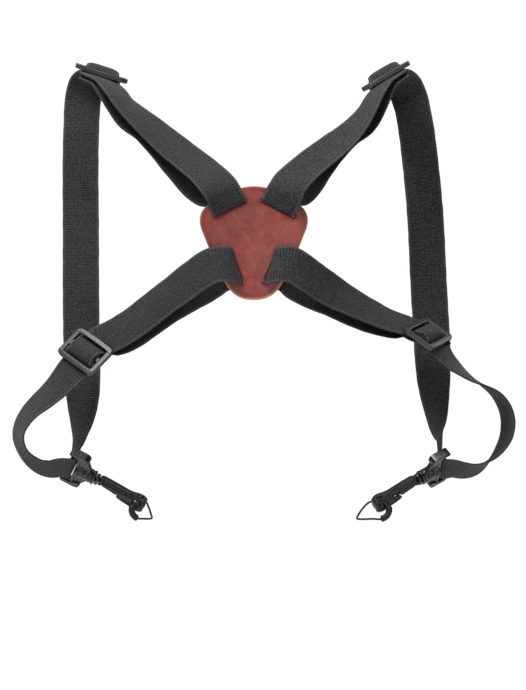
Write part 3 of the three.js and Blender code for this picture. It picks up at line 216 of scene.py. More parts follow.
# the same order of runs as on the left
STRAP_RIGHT = [
    *held(UPPER_RIGHT.across, 24.2,
          (91.18, 28.48, 108.47), (90.99, 30.45, 108.8), (90.51, 33.38, 109.62)),
    *held(UPPER_RIGHT.across, 22.6,
          (89.73, 36.06, 110.95), (88.9, 37.62, 112.37), (88.11, 38.13, 113.71),
          (87.34, 38.86, 115.02), (86.98, 40.8, 115.64), (87.17, 42.84, 115.32),
          (87.91, 43.82, 114.05), (88.89, 43.44, 112.37), (89.75, 41.28, 110.91),
          (90.93, 37.47, 108.89)),
    *held(UPPER_RIGHT.across, 24.2, (91.59, 33.57, 107.78), (91.99, 29.62, 107.09)),
    *free(
        (86.58, 23, 102.1, -0.6798, 0.6498, -0.3399), (82.85, 17.5, 94.54, -0.4705, 0.881, -0.0501),
        (78.24, 14.8, 85.7, -0.3805, 0.8812, 0.2804), (71.95, 13.8, 77.06, -0.4332, 0.816, 0.3828),
        (63.08, 13.6, 69.82, -0.3998, 0.8696, 0.2899), (53.88, 13.4, 61.27, -0.4717, 0.813, 0.3413),
        (43.36, 12.6, 51.36, -0.6286, 0.6486, 0.4291), (33.92, 12.5, 40.72, -0.7407, 0.3203, 0.5906),
        (25.61, 9.6, 33.57, -0.7596, -0.03, 0.6497)),
    *mirrored(UPPER_SLOT_RUN),
    *free(
        (23.43, -8, 38.66, -0.7666, 0.4438, 0.464), (30.63, -3, 45.84, -0.7066, 0.5249, 0.4745),
        (40.15, 2, 54.06, -0.6477, 0.587, 0.4858), (51.01, 5.5, 62.84, -0.6077, 0.628, 0.4862),
        (61.2, 7.5, 71.52, -0.5, 0.74, 0.45), (69.09, 8.5, 80.12, -0.3911, 0.8423, 0.371),
        (75.04, 10, 88.78, -0.3412, 0.9031, 0.2609), (79.35, 13.4, 97.03, -0.419, 0.9078, -0.02),
        (83.28, 20.5, 103.72, -0.6517, 0.6918, -0.3108)),
    *held(UPPER_RIGHT.across, 24.8,
          (90.13, 29.3, 110.27), (89.88, 31.97, 110.69), (89.54, 33.51, 111.28),
          (88.82, 34.69, 112.49), (87.71, 35.71, 114.39)),
    *held(UPPER_RIGHT.across, 24.4,
          (86.15, 37.44, 117.04), (85.32, 40.51, 118.48), (85.87, 43.82, 117.53)),
    *held(UPPER_RIGHT.across, 24.8,
          (87.25, 46.07, 115.17), (88.26, 47.45, 113.46), (88.86, 48.85, 112.44),
          (89.06, 50.5, 112.08), (89.07, 53.21, 112.07), (89.04, 56.21, 112.13)),
    *free(
        (91.59, 63.5, 115.38, -0.8775, 0.121, -0.464), (97.02, 71, 115.49, -0.938, 0.1631, -0.3059),
        (102.67, 77, 111.57, -0.9968, 0.0509, -0.061),
        (106.89, 78.5, 102.83, -0.9954, -0.0505, 0.0808),
        (110.42, 75, 84.62, -0.9877, -0.1003, 0.1203), (113.15, 75, 64.08, -0.9917, -0.0801, 0.1002),
        (115.89, 74, 36.61, -0.9969, -0.0501, 0.0601), (117.62, 72.5, 9.16, -0.9985, -0.03, 0.0449),
        (118.77, 70.5, -18.25, -0.9992, 0, 0.04), (120.08, 68, -45.59, -0.9992, 0, 0.04),
        (121.01, 66, -66.04, -0.998, -0.0499, 0.0399),
        (121.71, 64.5, -83.04, -0.9666, -0.2491, 0.0598),
        (122.58, 63.5, -98.66, -0.8617, -0.501, 0.0802),
        (123.31, 62.5, -111.53, -0.6816, -0.7217, 0.1203),
        (123.64, 61.5, -122.36, -0.5005, -0.8508, 0.1602),
        (125.53, 61.4, -131.86, -0.199, -0.8955, 0.398)),
    *held(EYE_RIGHT.across, 24.4,
          (124.79, 55.65, -147.66), (125.98, 54.52, -149.25), (128.19, 54.23, -149.74)),
    *free(
        (134.24, 54, -149.48, -0.0999, -0.8488, 0.5192),
        (141.29, 53.6, -150.67, -0.0201, -0.8643, 0.5025),
        (148.66, 53, -149.83, 0.0603, -0.8948, 0.4424), (155.64, 52, -145.93, 0.16, -0.9303, 0.3301),
        (161.94, 51, -140.14, 0.2201, -0.9605, 0.1701), (166.88, 50, -133.36, 0.1996, -0.978, 0.0599),
        (170.07, 48.5, -124.89, 0.2496, -0.9684, 0), (170.31, 47, -115.42, 0.2601, -0.9654, 0.02),
        (167.13, 45, -106.29, 0.23, -0.9699, 0.08), (161.41, 43, -98.73, 0.1311, -0.9881, 0.0807),
        (153.79, 40.5, -93.19, 0.0801, -0.9968, 0), (145.42, 37, -87.79, -0.0602, -0.9931, -0.1003),
        (137.38, 33, -81.68, -0.2008, -0.9588, -0.2008),
        (130.1, 29.6, -75.66, -0.3194, -0.9182, -0.2345)),
    *held(LOWER_RIGHT.across, 24.8,
          (125.58, 26.01, -69.83), (123.38, 26.8, -67.95), (121.42, 27.48, -66.19),
          (120.44, 27.7, -64.84), (120, 27.49, -63.06), (119.97, 26.9, -60.72),
          (119.29, 26.58, -57.99), (117.25, 27.09, -55.4), (114.41, 28.45, -54.3),
          (112.03, 29.93, -54.72), (110.23, 31.23, -55.68), (108.69, 32.19, -55.95),
          (107.24, 32.91, -55.46), (105.07, 33.81, -54.1)),
    *free(
        (99, 31, -52.09, -0.3009, -0.8827, -0.3611), (90.45, 27, -49.48, -0.1997, -0.8489, -0.4894),
        (79.19, 20.5, -44.8, -0.1799, -0.7797, -0.5998), (66.71, 14, -38.99, -0.3011, -0.7226, -0.6222),
        (53.99, 7, -32.4, -0.4013, -0.6221, -0.6723), (42.3, -3, -25.31, -0.4034, -0.4841, -0.7765),
        (33.43, -8.8, -19.28, -0.319, -0.3589, -0.8772)),
    (25.96, -11.6, -14.73, -0.261, -0.2811, -0.9235, 24.6),
    (19.71, -12, -13.97, -0.3019, -0.1812, -0.936, 24.2),
    (15.07, -10.8, -14.51, -0.3598, -0.08, -0.9296, 23.8),
    (12.31, -8.3, -15.25, -0.3861, -0.02, -0.9222, 23.5),
    *mirrored(LOWER_SLOT_RUN),
    *free(
        (27.55, 8, -24.53, -0.3625, -0.1007, -0.9265), (36.77, 11, -29.68, -0.3811, -0.2407, -0.8926),
        (48.06, 16, -34.81, -0.3609, -0.4211, -0.8321),
        (60.06, 20.5, -41.31, -0.3198, -0.5796, -0.7495),
        (72.21, 26.5, -47.16, -0.2404, -0.7012, -0.6712),
        (83.77, 32, -51.75, -0.1802, -0.8011, -0.5708),
        (91.61, 35.3, -54.38, -0.2599, -0.8597, -0.4398),
        (96.34, 36.4, -55.57, -0.3201, -0.8803, -0.3501)),
    *held(LOWER_RIGHT.across, 24.6,
          (103.51, 35.47, -57.01), (106.75, 34.1, -58.96), (110.2, 32.51, -60.52),
          (114.1, 30.44, -61.26), (116.49, 29.09, -61.41), (117.71, 28.08, -60.23),
          (117.72, 27.63, -58.52), (116.42, 27.97, -56.93), (114.67, 28.8, -56.21),
          (113.4, 29.7, -56.86), (112.27, 30.56, -57.67), (110.34, 31.73, -57.87),
          (107.66, 33.14, -57.27), (105.07, 34.33, -56.09), (103.46, 35, -55.1)),
]
# index of the station under the eye's bar, where each strap is cut into two objects
EYE_ROW_LEFT, EYE_ROW_RIGHT = 74, 75


# ------------------------------------------------------------------ numbers and curves
def unit(vectors):
    vectors = np.asarray(vectors, float)
    return vectors / np.linalg.norm(vectors, axis=-1, keepdims=True)


def clip01(x):
    return np.clip(x, 0, 1)


def smoothstep(x):
    x = clip01(x)
    return x * x * (3 - 2 * x)


def between(x, low, high, fade, fade_high=None):
    """1 between low and high, falling to 0 at both over the fades inside them."""
    return clip01((x - low) / fade) * clip01((high - x) / (fade_high or fade))


def centripetal(four, fraction):
    """Point on a centripetal Catmull-Rom, a fraction of the way from the second to the third."""
    p0, p1, p2, p3 = four
    t0 = 0.0
    t1, t2, t3 = np.cumsum(np.sqrt(np.linalg.norm(np.diff(four, axis=0), axis=1)))
    t = t1 + (t2 - t1) * fraction
    a1 = (t1 - t) / (t1 - t0) * p0 + (t - t0) / (t1 - t0) * p1
    a2 = (t2 - t) / (t2 - t1) * p1 + (t - t1) / (t2 - t1) * p2
    a3 = (t3 - t) / (t3 - t2) * p2 + (t - t2) / (t3 - t2) * p3
    b1 = (t2 - t) / (t2 - t0) * a1 + (t - t0) / (t2 - t0) * a2
    b2 = (t3 - t) / (t3 - t1) * a2 + (t - t1) / (t3 - t1) * a3
    return (t2 - t) / (t2 - t1) * b1 + (t - t1) / (t2 - t1) * b2


def path_lengths(points):
    steps = np.linalg.norm(np.diff(points, axis=0), axis=1)
    return np.concatenate([[0], np.cumsum(steps)])


def smooth_loop(points, per_span):
    """Closed uniform Catmull-Rom through 2-D points."""
    points = np.array(points, float)
    count = len(points)
    out = []
    for i in range(count):
        p0, p1, p2, p3 = (points[(i + k) % count] for k in (-1, 0, 1, 2))
        for k in range(per_span):
            t = k / per_span
            out.append(0.5 * (
                (2 * p1) + (-p0 + p2) * t + (2 * p0 - 5 * p1 + 4 * p2 - p3) * t * t
                + (-p0 + 3 * p1 - 3 * p2 + p3) * t ** 3))
    return np.array(out)


def smooth_corner(points, radius, steps=4):
    """Rounds the corners of a polygon."""
    points = [np.array(p, float) for p in points]
    out = []
    for i, p in enumerate(points):
        before, after = points[i - 1] - p, points[(i + 1) % len(points)] - p
        start = p + unit(before) * min(radius, np.linalg.norm(before) * 0.45)
        end = p + unit(after) * min(radius, np.linalg.norm(after) * 0.45)
        for k in range(steps + 1):
            t = k / steps
            out.append((1 - t) ** 2 * start + 2 * t * (1 - t) * p + t * t * end)
    return out


def round_rect(width, height, radius, centre_y=0.0, steps=8):
    out = []
    for side_x, side_y, start in ((1, -1, -90), (1, 1, 0), (-1, 1, 90), (-1, -1, 180)):
        for k in range(steps + 1):
            a = math.radians(start + 90 * k / steps)
            out.append((side_x * (width / 2 - radius) + radius * math.cos(a),
                        centre_y + side_y * (height / 2 - radius) + radius * math.sin(a)))
    return out


def loop_distance(flat, loop):
    """Distance in the plane from each point to a closed polyline."""
    best = np.full(len(flat), 1e9)
    for a, b in zip(loop, np.roll(loop, -1, axis=0)):
        d = b - a
        t = clip01(((flat - a) @ d) / max(1e-9, d @ d))
        best = np.minimum(best, np.linalg.norm(flat - (a + t[:, None] * d), axis=1))
    return best


# ------------------------------------------------------------------ meshes
def mesh_from(name, verts, faces):
    me = bpy.data.meshes.new(name)
    points = [tuple(v) for v in np.asarray(verts, float)]
    me.from_pydata(points, [], [tuple(int(i) for i in f) for f in faces])
    me.validate()
    me.update()
    me.polygons.foreach_set("use_smooth", [True] * len(me.polygons))
    return me


def coords(me):
    co = np.zeros(len(me.vertices) * 3, np.float32)
    me.vertices.foreach_get("co", co)
    return co.reshape(-1, 3).astype(float)


def set_coords(me, co):
    me.vertices.foreach_set("co", np.asarray(co, np.float32).ravel())
    me.update()


def point_attribute(me, name, values):
    """Stores one number or one vector per vertex."""
    values = np.asarray(values, np.float32)
    kind, field = ("FLOAT", "value") if values.ndim == 1 else ("FLOAT_VECTOR", "vector")
    attribute = me.attributes.get(name) or me.attributes.new(name, kind, "POINT")
    attribute.data.foreach_set(field, values.ravel())


def face_outward(me):
    bm = bmesh.new()
    bm.from_mesh(me)
    bmesh.ops.recalc_face_normals(bm, faces=bm.faces)
    bm.to_mesh(me)
    bm.free()


def add_object(name, data):
    ob = bpy.data.objects.new(name, data)
    scene.collection.objects.link(ob)
    return ob


def evaluated_mesh(ob):
    depsgraph = bpy.context.evaluated_depsgraph_get()
    return bpy.data.meshes.new_from_object(ob.evaluated_get(depsgraph))


def prism(loops, z0, z1):
    """Closed solid from z0 to z1: loops[0] is its outside, the others are holes."""
    curve = bpy.data.curves.new("tmp_prism", "CURVE")
    curve.dimensions = "2D"
    curve.fill_mode = "BOTH"
    curve.extrude = (z1 - z0) / 2
    for loop in loops:
        spline = curve.splines.new("POLY")
        spline.points.add(len(loop) - 1)
        for k, p in enumerate(loop):
            spline.points[k].co = (p[0], p[1], 0, 1)
        spline.use_cyclic_u = True
    ob = add_object("tmp_prism", curve)
    me = evaluated_mesh(ob)
    bpy.data.objects.remove(ob)
    bpy.data.curves.remove(curve)
    bm = bmesh.new()
    bm.from_mesh(me)
    bmesh.ops.remove_doubles(bm, verts=bm.verts, dist=1e-4)
    bmesh.ops.recalc_face_normals(bm, faces=bm.faces)
    bm.verts.index_update()
    verts = np.array([v.co for v in bm.verts], float)
    verts[:, 2] += (z0 + z1) / 2
    faces = [[corner.vert.index for corner in face.loops] for face in bm.faces]
    bm.free()
    bpy.data.meshes.remove(me)
    return verts, faces


def lathe(profile, segments):
    """Closed solid of revolution about x; profile is (radius, x) from axis back to axis."""
    verts, rows, faces = [], [], []
    for radius, x in profile:
        count = 1 if radius < 1e-6 else segments
        rows.append(range(len(verts), len(verts) + count))
        for k in range(count):
            a = 2 * math.pi * k / segments
            verts.append((x, radius * math.cos(a), radius * math.sin(a)))
    for a, b in zip(rows[:-1], rows[1:]):
        for k in range(segments):
            k2 = (k + 1) % segments
            if len(a) == 1:
                faces.append((a[0], b[k], b[k2]))
            elif len(b) == 1:
                faces.append((a[k], b[0], a[k2]))
            else:
                faces.append((a[k], b[k], b[k2], a[k2]))
    return np.array(verts, float), faces


def ellipsoid(centre, radii, segments=28, rings=16):
    angles = [math.pi * i / rings for i in range(rings + 1)]
    verts, faces = lathe([(math.sin(a), -math.cos(a)) for a in angles], segments)
    return verts * np.array(radii) + np.array(centre), faces


def remeshed(parts, voxel, smooth_steps):
    """One skin over all the solids in parts, rounded at its edges."""
    verts, faces, first = [], [], 0
    for part_verts, part_faces in parts:
        verts.append(part_verts)
        faces += [[i + first for i in face] for face in part_faces]
        first += len(part_verts)
    raw = mesh_from("raw", np.vstack(verts), faces)
    face_outward(raw)
    ob = add_object("raw", raw)
    remesh = ob.modifiers.new("remesh", "REMESH")
    remesh.mode = "VOXEL"
    remesh.voxel_size = voxel
    remesh.adaptivity = 0
    smooth = ob.modifiers.new("smooth", "SMOOTH")
    smooth.factor = 0.5
    smooth.iterations = smooth_steps
    out = evaluated_mesh(ob)
    bpy.data.objects.remove(ob)
    bpy.data.meshes.remove(raw)
    out.polygons.foreach_set("use_smooth", [True] * len(out.polygons))
    return out


def place(name, me, material, origin=(0, 0, 0), x=(1, 0, 0), y=(0, 1, 0), outward=False):
    """Puts a mesh built in its own frame (mm) into the shared frame (m)."""
    co = coords(me)
    axes = np.column_stack([x, y, np.cross(x, y)])
    point_attribute(me, "local_mm", co)
    set_coords(me, (co @ axes.T + np.asarray(origin, float)) * MM)
    me.name = name
    ob = add_object(name, me)
    me.materials.append(material)
    if outward:
        face_outward(me)
    return ob


def register(ob, body, node):
    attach(ob, body)
    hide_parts(node)


# ------------------------------------------------------------------ materials
class Shader:
    """A new material with a Principled surface, and short calls that add and wire nodes."""

    def __init__(self, name):
        self.material = bpy.data.materials.new(name)
        self.material.use_nodes = True
        self.tree = self.material.node_tree
        self.tree.nodes.clear()
        self.output = self.node("ShaderNodeOutputMaterial")
        self.surface = self.node("ShaderNodeBsdfPrincipled")
        self.put(self.output.inputs[0], self.surface.outputs[0])

    def put(self, socket, value):
        """Links a socket, or sets a plain value."""
        if isinstance(value, bpy.types.NodeSocket):
            self.tree.links.new(value, socket)
        else:
            socket.default_value = value

    def node(self, kind, inputs=None, **settings):
        node = self.tree.nodes.new(kind)
        for key, value in settings.items():
            setattr(node, key, value)
        for key, value in (inputs or {}).items():
            self.put(node.inputs[key], value)
        return node

    def finish(self, inputs):
        """Fills the surface's inputs and gives the material."""
        for key, value in inputs.items():
            self.put(self.surface.inputs[key], value)
        return self.material

    def math(self, operation, *values, clamp=False):
        return self.node("ShaderNodeMath", dict(enumerate(values)),
                         operation=operation, use_clamp=clamp).outputs[0]

    def add(self, a, b, clamp=False):
        return self.math("ADD", a, b, clamp=clamp)

    def mul(self, a, b):
        return self.math("MULTIPLY", a, b)

    def scaled(self, value, times, plus):
        return self.math("MULTIPLY_ADD", value, times, plus)

    def centred(self, value):
        return self.math("SUBTRACT", value, 0.5)

    def weighed(self, *terms, clamp=False):
        """Sum of (value, weight) terms."""
        total = self.mul(*terms[0])
        for term in terms[1:]:
            total = self.add(total, self.mul(*term), clamp=clamp and term is terms[-1])
        return total

    def attribute(self, name, output="Vector"):
        return self.node("ShaderNodeAttribute", attribute_name=name).outputs[output]

    def split(self, vector):
        return self.node("ShaderNodeSeparateXYZ", {0: vector}).outputs

    def join(self, x, y, z):
        return self.node("ShaderNodeCombineXYZ", {0: x, 1: y, 2: z}).outputs[0]

    def stretch(self, vector, factors):
        return self.node("ShaderNodeVectorMath", {0: vector, 1: factors},
                         operation="MULTIPLY").outputs[0]

    def noise(self, vector, scale, detail=3.0, rough=0.55, distort=0.0):
        return self.node("ShaderNodeTexNoise", {
            "Vector": vector, "Scale": scale, "Detail": detail,
            "Roughness": rough, "Distortion": distort}).outputs[0]

    def voronoi(self, vector, scale, feature="F1"):
        return self.node("ShaderNodeTexVoronoi", {"Vector": vector, "Scale": scale},
                         feature=feature).outputs[0]

    def ramp(self, value, start, end):
        """Smooth rise from 0 at start to 1 at end."""
        return self.node("ShaderNodeMapRange", {0: value, 1: start, 2: end, 3: 0.0, 4: 1.0},
                         interpolation_type="SMOOTHSTEP").outputs[0]

    def mix(self, factor, a, b):
        colours = [(*c, 1) if isinstance(c, tuple) else c for c in (a, b)]
        return self.node("ShaderNodeMix", {0: factor, 6: colours[0], 7: colours[1]},
                         data_type="RGBA").outputs[2]

    def bump(self, height, strength, distance):
        return self.node("ShaderNodeBump", {
            "Strength": strength, "Distance": distance, "Height": height}).outputs[0]


def tinted(colour, factor):
    return tuple(x * factor for x in colour)


def webbing_material():
    """Ribbed grey weave; "cloth" holds the place across, the path length and the side (mm)."""
    pitch = 1.55  # of ribs and of warp threads
    base, lift = 0.031, 0.027  # grey of the threads, and how much lighter the raised ones are
    sh = Shader("webbing")
    u, v, side = sh.split(sh.attribute("cloth"))
    cloth = sh.join(u, v, side)
    # ribs run across; every next rib shifts its warp threads along
    uneven = sh.noise(cloth, scale=0.35, detail=2.0)
    v2 = sh.add(v, sh.mul(uneven, 0.5))
    rib = sh.math("SINE", sh.mul(v2, 2 * math.pi / pitch))
    shift = sh.mul(sh.math("FLOOR", sh.mul(v2, 1 / pitch)), 0.78)
    warp = sh.math("SINE", sh.mul(sh.add(u, shift), 2 * math.pi / pitch))
    rib01 = sh.scaled(rib, times=0.5, plus=0.5)
    warp01 = sh.scaled(warp, times=0.5, plus=0.5)
    weave = sh.mul(rib01, sh.scaled(warp01, times=0.55, plus=0.45))
    # specks of tone, from fine to broad
    grit = sh.noise(sh.join(sh.mul(u, 1.0), sh.mul(v, 1.25), side), scale=0.98, detail=2.0, rough=0.7)
    heather = sh.noise(sh.join(sh.mul(u, 1.3), sh.mul(v, 0.85), side),
                       scale=1.15, detail=4.0, rough=0.75)
    broad = sh.noise(cloth, scale=0.05)
    fluff = sh.noise(cloth, scale=3.2, detail=2.0)
    tone = sh.weighed(
        (sh.ramp(heather, start=0.35, end=0.68), 0.45), (weave, 0.62), (sh.centred(broad), 0.35),
        (sh.centred(sh.ramp(grit, start=0.38, end=0.64)), 0.6), clamp=True)
    dark = tuple(base * k for k in (0.36, 0.40, 0.43))
    light = tuple(base + lift * k for k in (1.45, 1.60, 1.68))
    colour = sh.mix(tone, dark, light)
    selvage = sh.attribute("selvage", "Fac")
    colour = sh.mix(sh.mul(selvage, 0.62), colour, (0.135, 0.142, 0.145))
    # painted shade: the colour darkens towards a shade tone where ambient occlusion finds layers close
    # together
    painted_shade_ao = sh.node("ShaderNodeAmbientOcclusion", {"Distance": 0.017}, samples=6).outputs["AO"]
    shade = tuple(base * k for k in (0.14, 0.15, 0.16))
    colour = sh.mix(sh.ramp(painted_shade_ao, start=0.22, end=0.86), shade, colour)
    height = sh.weighed((weave, 0.8), (fluff, 0.5))
    return sh.finish({
        "Base Color": colour,
        "Roughness": sh.scaled(heather, times=0.25, plus=0.70),
        "Specular IOR Level": 0.22,
        "Sheen Weight": 0.16,
        "Sheen Roughness": 0.45,
        "Sheen Tint": (0.75, 0.8, 0.85, 1),
        "Normal": sh.bump(height, strength=0.75, distance=0.00022),
    })


def leather_material(name, face, edge, rough, grain, coat):
    """Mottled, scratched leather; one attribute marks its paler cut edge, which also carries a painted
    highlight, and another the painted shade round its slots and its darker margins.
    """
    sh = Shader(name)
    p = sh.attribute("local_mm")
    edge_colour_and_highlight = sh.attribute("edge_colour_and_highlight", "Fac")
    slot_shade_and_margin = sh.attribute("slot_shade_and_margin", "Fac")
    broad = sh.noise(p, scale=0.055, detail=4.0, rough=0.6, distort=0.6)
    mottle = sh.noise(p, scale=0.33, detail=5.0, rough=0.7, distort=0.3)
    speck = sh.noise(p, scale=2.2, rough=0.7)
    pores = sh.voronoi(p, scale=1.5)
    wrinkle = sh.voronoi(sh.stretch(p, (0.75, 1.0, 1.25)), scale=0.95, feature="DISTANCE_TO_EDGE")
    tone = sh.weighed(
        (sh.ramp(broad, start=0.36, end=0.64), 0.48), (sh.ramp(mottle, start=0.36, end=0.66), 0.40),
        (sh.ramp(speck, start=0.4, end=0.7), 0.15))
    colour = sh.mix(tone, tinted(face, 0.58), tinted(face, 1.34))
    # long soft scratches in three directions: angle, offset in the noise, strength
    for angle, offset, strength in ((38, 0.0, 0.45), (-55, 3.7, 0.28), (12, 8.1, 0.22)):
        cos, sin = math.cos(math.radians(angle)), math.sin(math.radians(angle))
        x, _, z = sh.split(p)
        along = sh.weighed((x, cos), (z, sin))
        aside = sh.weighed((x, -sin), (z, cos))
        streak = sh.join(sh.mul(aside, 1.3), sh.mul(along, 0.045), offset)
        line = sh.ramp(sh.noise(streak, scale=1.0, detail=2.0, rough=0.5), start=0.63, end=0.69)
        patch = sh.ramp(sh.noise(p, scale=0.09, detail=1.0), start=0.45, end=0.6)
        colour = sh.mix(sh.mul(sh.mul(line, patch), strength), colour, tinted(face, 0.35))
    # painted shade round the slots, where the straps pass through, and a darker band inside the edge
    colour = sh.mix(sh.mul(slot_shade_and_margin, 0.62), colour, tinted(face, 0.42))
    # the cut edge's own colour, brightened towards the bottom of the plate as a painted highlight
    colour = sh.mix(edge_colour_and_highlight, colour, edge)
    height = sh.weighed(
        (sh.ramp(wrinkle, start=0.0, end=0.12), 0.35), (speck, 0.45),
        (sh.ramp(pores, start=0.0, end=0.35), 0.25), (mottle, 0.9))
    return sh.finish({
        "Base Color": colour,
        "Roughness": sh.scaled(sh.ramp(mottle, start=0.25, end=0.75),
                               times=rough[1] - rough[0], plus=rough[0]),
        "Specular IOR Level": 0.45,
        "Coat Weight": coat,
        "Coat Roughness": 0.27,
        "Normal": sh.bump(height, strength=0.42 * grain, distance=0.0002),
    })


def plastic_material(name, base, rough, coat, coat_rough, grain, specular,
                     scuffing=0.12, rough_spread=0.12):
    """Moulded plastic or rubber, with paler worn edges and scuffs."""
    sh = Shader(name)
    p = sh.attribute("local_mm")
    broad = sh.noise(p, scale=0.12, rough=0.6)
    fine = sh.noise(p, scale=5.5, detail=2.0, rough=0.6)
    medium = sh.noise(p, scale=0.9, detail=4.0, rough=0.65)
    pointed = sh.node("ShaderNodeNewGeometry").outputs["Pointiness"]
    worn = sh.ramp(pointed, start=0.54, end=0.72)
    tone = sh.weighed((sh.ramp(broad, start=0.3, end=0.7), 0.6), (medium, 0.4))
    colour = sh.mix(tone, tinted(base, 0.78), tinted(base, 1.22))
    colour = sh.mix(sh.mul(worn, 0.3), colour, tuple(x * 1.6 + 0.001 for x in base))
    streaks = sh.noise(sh.stretch(p, (0.3, 1.6, 1.6)), scale=1.4, rough=0.7)
    scuff = sh.ramp(streaks, start=0.62, end=0.72)
    colour = sh.mix(sh.mul(scuff, scuffing), colour, tuple(x + 0.06 for x in base))
    return sh.finish({
        "Base Color": colour,
        "Roughness": sh.add(sh.mul(sh.ramp(medium, start=0.3, end=0.7), rough_spread),
                            sh.scaled(scuff, times=0.10, plus=rough - 0.07)),
        "Specular IOR Level": specular,
        "Coat Weight": coat,
        "Coat Roughness": coat_rough,
        "Normal": sh.bump(sh.weighed((fine, 0.6), (medium, 0.6)), strength=grain, distance=0.00012),
    })


def braid_material(name, base):
    """Braid of two crossing sets of strands, over a grey base."""
    sh = Shader(name)
    u, v, side = sh.split(sh.attribute("cloth"))
    strands = [sh.math("SINE", sh.math(crossing, sh.mul(u, 8.0), sh.mul(v, 7.0)))
               for crossing in ("ADD", "SUBTRACT")]
    braid = sh.math("MAXIMUM", *strands)
    fuzz = sh.noise(sh.join(sh.mul(u, 2.0), v, side), scale=3.0, rough=0.7)
    tone = sh.math("MULTIPLY_ADD", braid, 0.3, sh.mul(fuzz, 0.5), clamp=True)
    light = (base * 2.6, base * 2.7, base * 2.9)
    return sh.finish({
        "Base Color": sh.mix(tone, (base * 0.6,) * 3, light),
        "Roughness": sh.scaled(fuzz, times=0.3, plus=0.55),
        "Sheen Weight": 0.15,
        "Normal": sh.bump(sh.add(braid, fuzz), strength=0.6, distance=0.00012),
    })


WEBBING = webbing_material()
braid_material("stitch_thread", base=0.022)  # part of the set, on no piece so far
# edge is the colour of the cut edge, made brighter on the face layer as a painted highlight
LEATHER_FACE = leather_material(
    "leather_face", face=(0.335, 0.048, 0.031), edge=(0.90, 0.330, 0.155),
    rough=(0.26, 0.50), grain=1.5, coat=0.45)
LEATHER_BACK = leather_material(
    "leather_back", face=(0.300, 0.098, 0.052), edge=(0.50, 0.150, 0.070),
    rough=(0.62, 0.82), grain=1.8, coat=0.0)
SLIDER_PLASTIC = plastic_material(
    "slider_plastic", base=(0.038, 0.041, 0.045), rough=0.37, coat=0.26, coat_rough=0.34,
    grain=0.0, specular=0.6)
HOOK_PLASTIC = plastic_material(
    "hook_plastic", base=(0.0030, 0.0033, 0.0038), rough=0.30, coat=0.55, coat_rough=0.25,
    grain=0.0, specular=0.5, scuffing=0.0, rough_spread=0.05)
SLEEVE_RUBBER = plastic_material(
    "sleeve_rubber", base=(0.012, 0.0125, 0.0135), rough=0.48, coat=0.0, coat_rough=0.30,
    grain=0.5, specular=0.4)
CORD_FABRIC = braid_material("cord_fabric", base=0.010)

# ------------------------------------------------------------------ leather plate
# right half of the outline from top to bottom: x, z
PLATE_HALF = [
    (0, 36.9), (8, 36.0), (16, 32.8), (24, 28.4), (30.5, 24.3), (33.8, 20.2), (35, 16), (34.6, 11),
    (32.6, 5.5), (28, -6), (23.5, -16), (19.6, -24), (16.4, -29.2), (12, -33.6), (6.5, -36.2),
    (0, -36.9)]
PLATE_HALF_WIDTH = 35
OUTLINE = smooth_loop(PLATE_HALF + [(-x, z) for x, z in PLATE_HALF[-2:0:-1]], per_span=8)
SLOT_LENGTH, SLOT_WIDTH = 23.85, 1.95
SLOT_SHIFT = 0.25  # moves each slot away from the middle of the plate
# x from the middle, z, angle in degrees, z of the point the slot is moved away from
SLOT_PLACES = ((15.2, 22.5, 26.7, 4.0), (11.2, -15.4, -67.3, -14.0))


def slot_loop(side, x, z, angle, middle_z):
    a = math.radians(angle)
    along = np.array([-side * math.cos(a), math.sin(a)])
    normal = np.array([-along[1], along[0]])
    centre = np.array([side * x, z])
    outwards = normal @ (centre - np.array([0, middle_z])) > 0
    centre = centre + (normal if outwards else -normal) * SLOT_SHIFT
    radius = SLOT_WIDTH / 2
    straight = SLOT_LENGTH / 2 - radius
    out = []
    for end in (1, -1):
        for k in range(11):
            t = -math.pi / 2 + math.pi * k / 10 + (math.pi if end < 0 else 0)
            out.append(centre + along * (end * straight + radius * math.cos(t))
                       + normal * radius * math.sin(t))
    return np.array(out)


SLOTS = [slot_loop(side, *slot) for side in (-1, 1) for slot in SLOT_PLACES]


def uneven(flat):
    """Smooth repeatable noise in -1..1 from a few sines."""
    waves = np.array([[1.0, 0.37], [-0.53, 1.13], [0.41, -0.67], [1.7, 0.9]])
    phases = np.array([0.3, 1.9, 4.1, 2.6]) + 3.4
    heights = np.array([0.35, 0.3, 0.22, 0.13])
    return (np.sin(flat / 19.0 @ waves.T * 2 * math.pi + phases) * heights).sum(1)


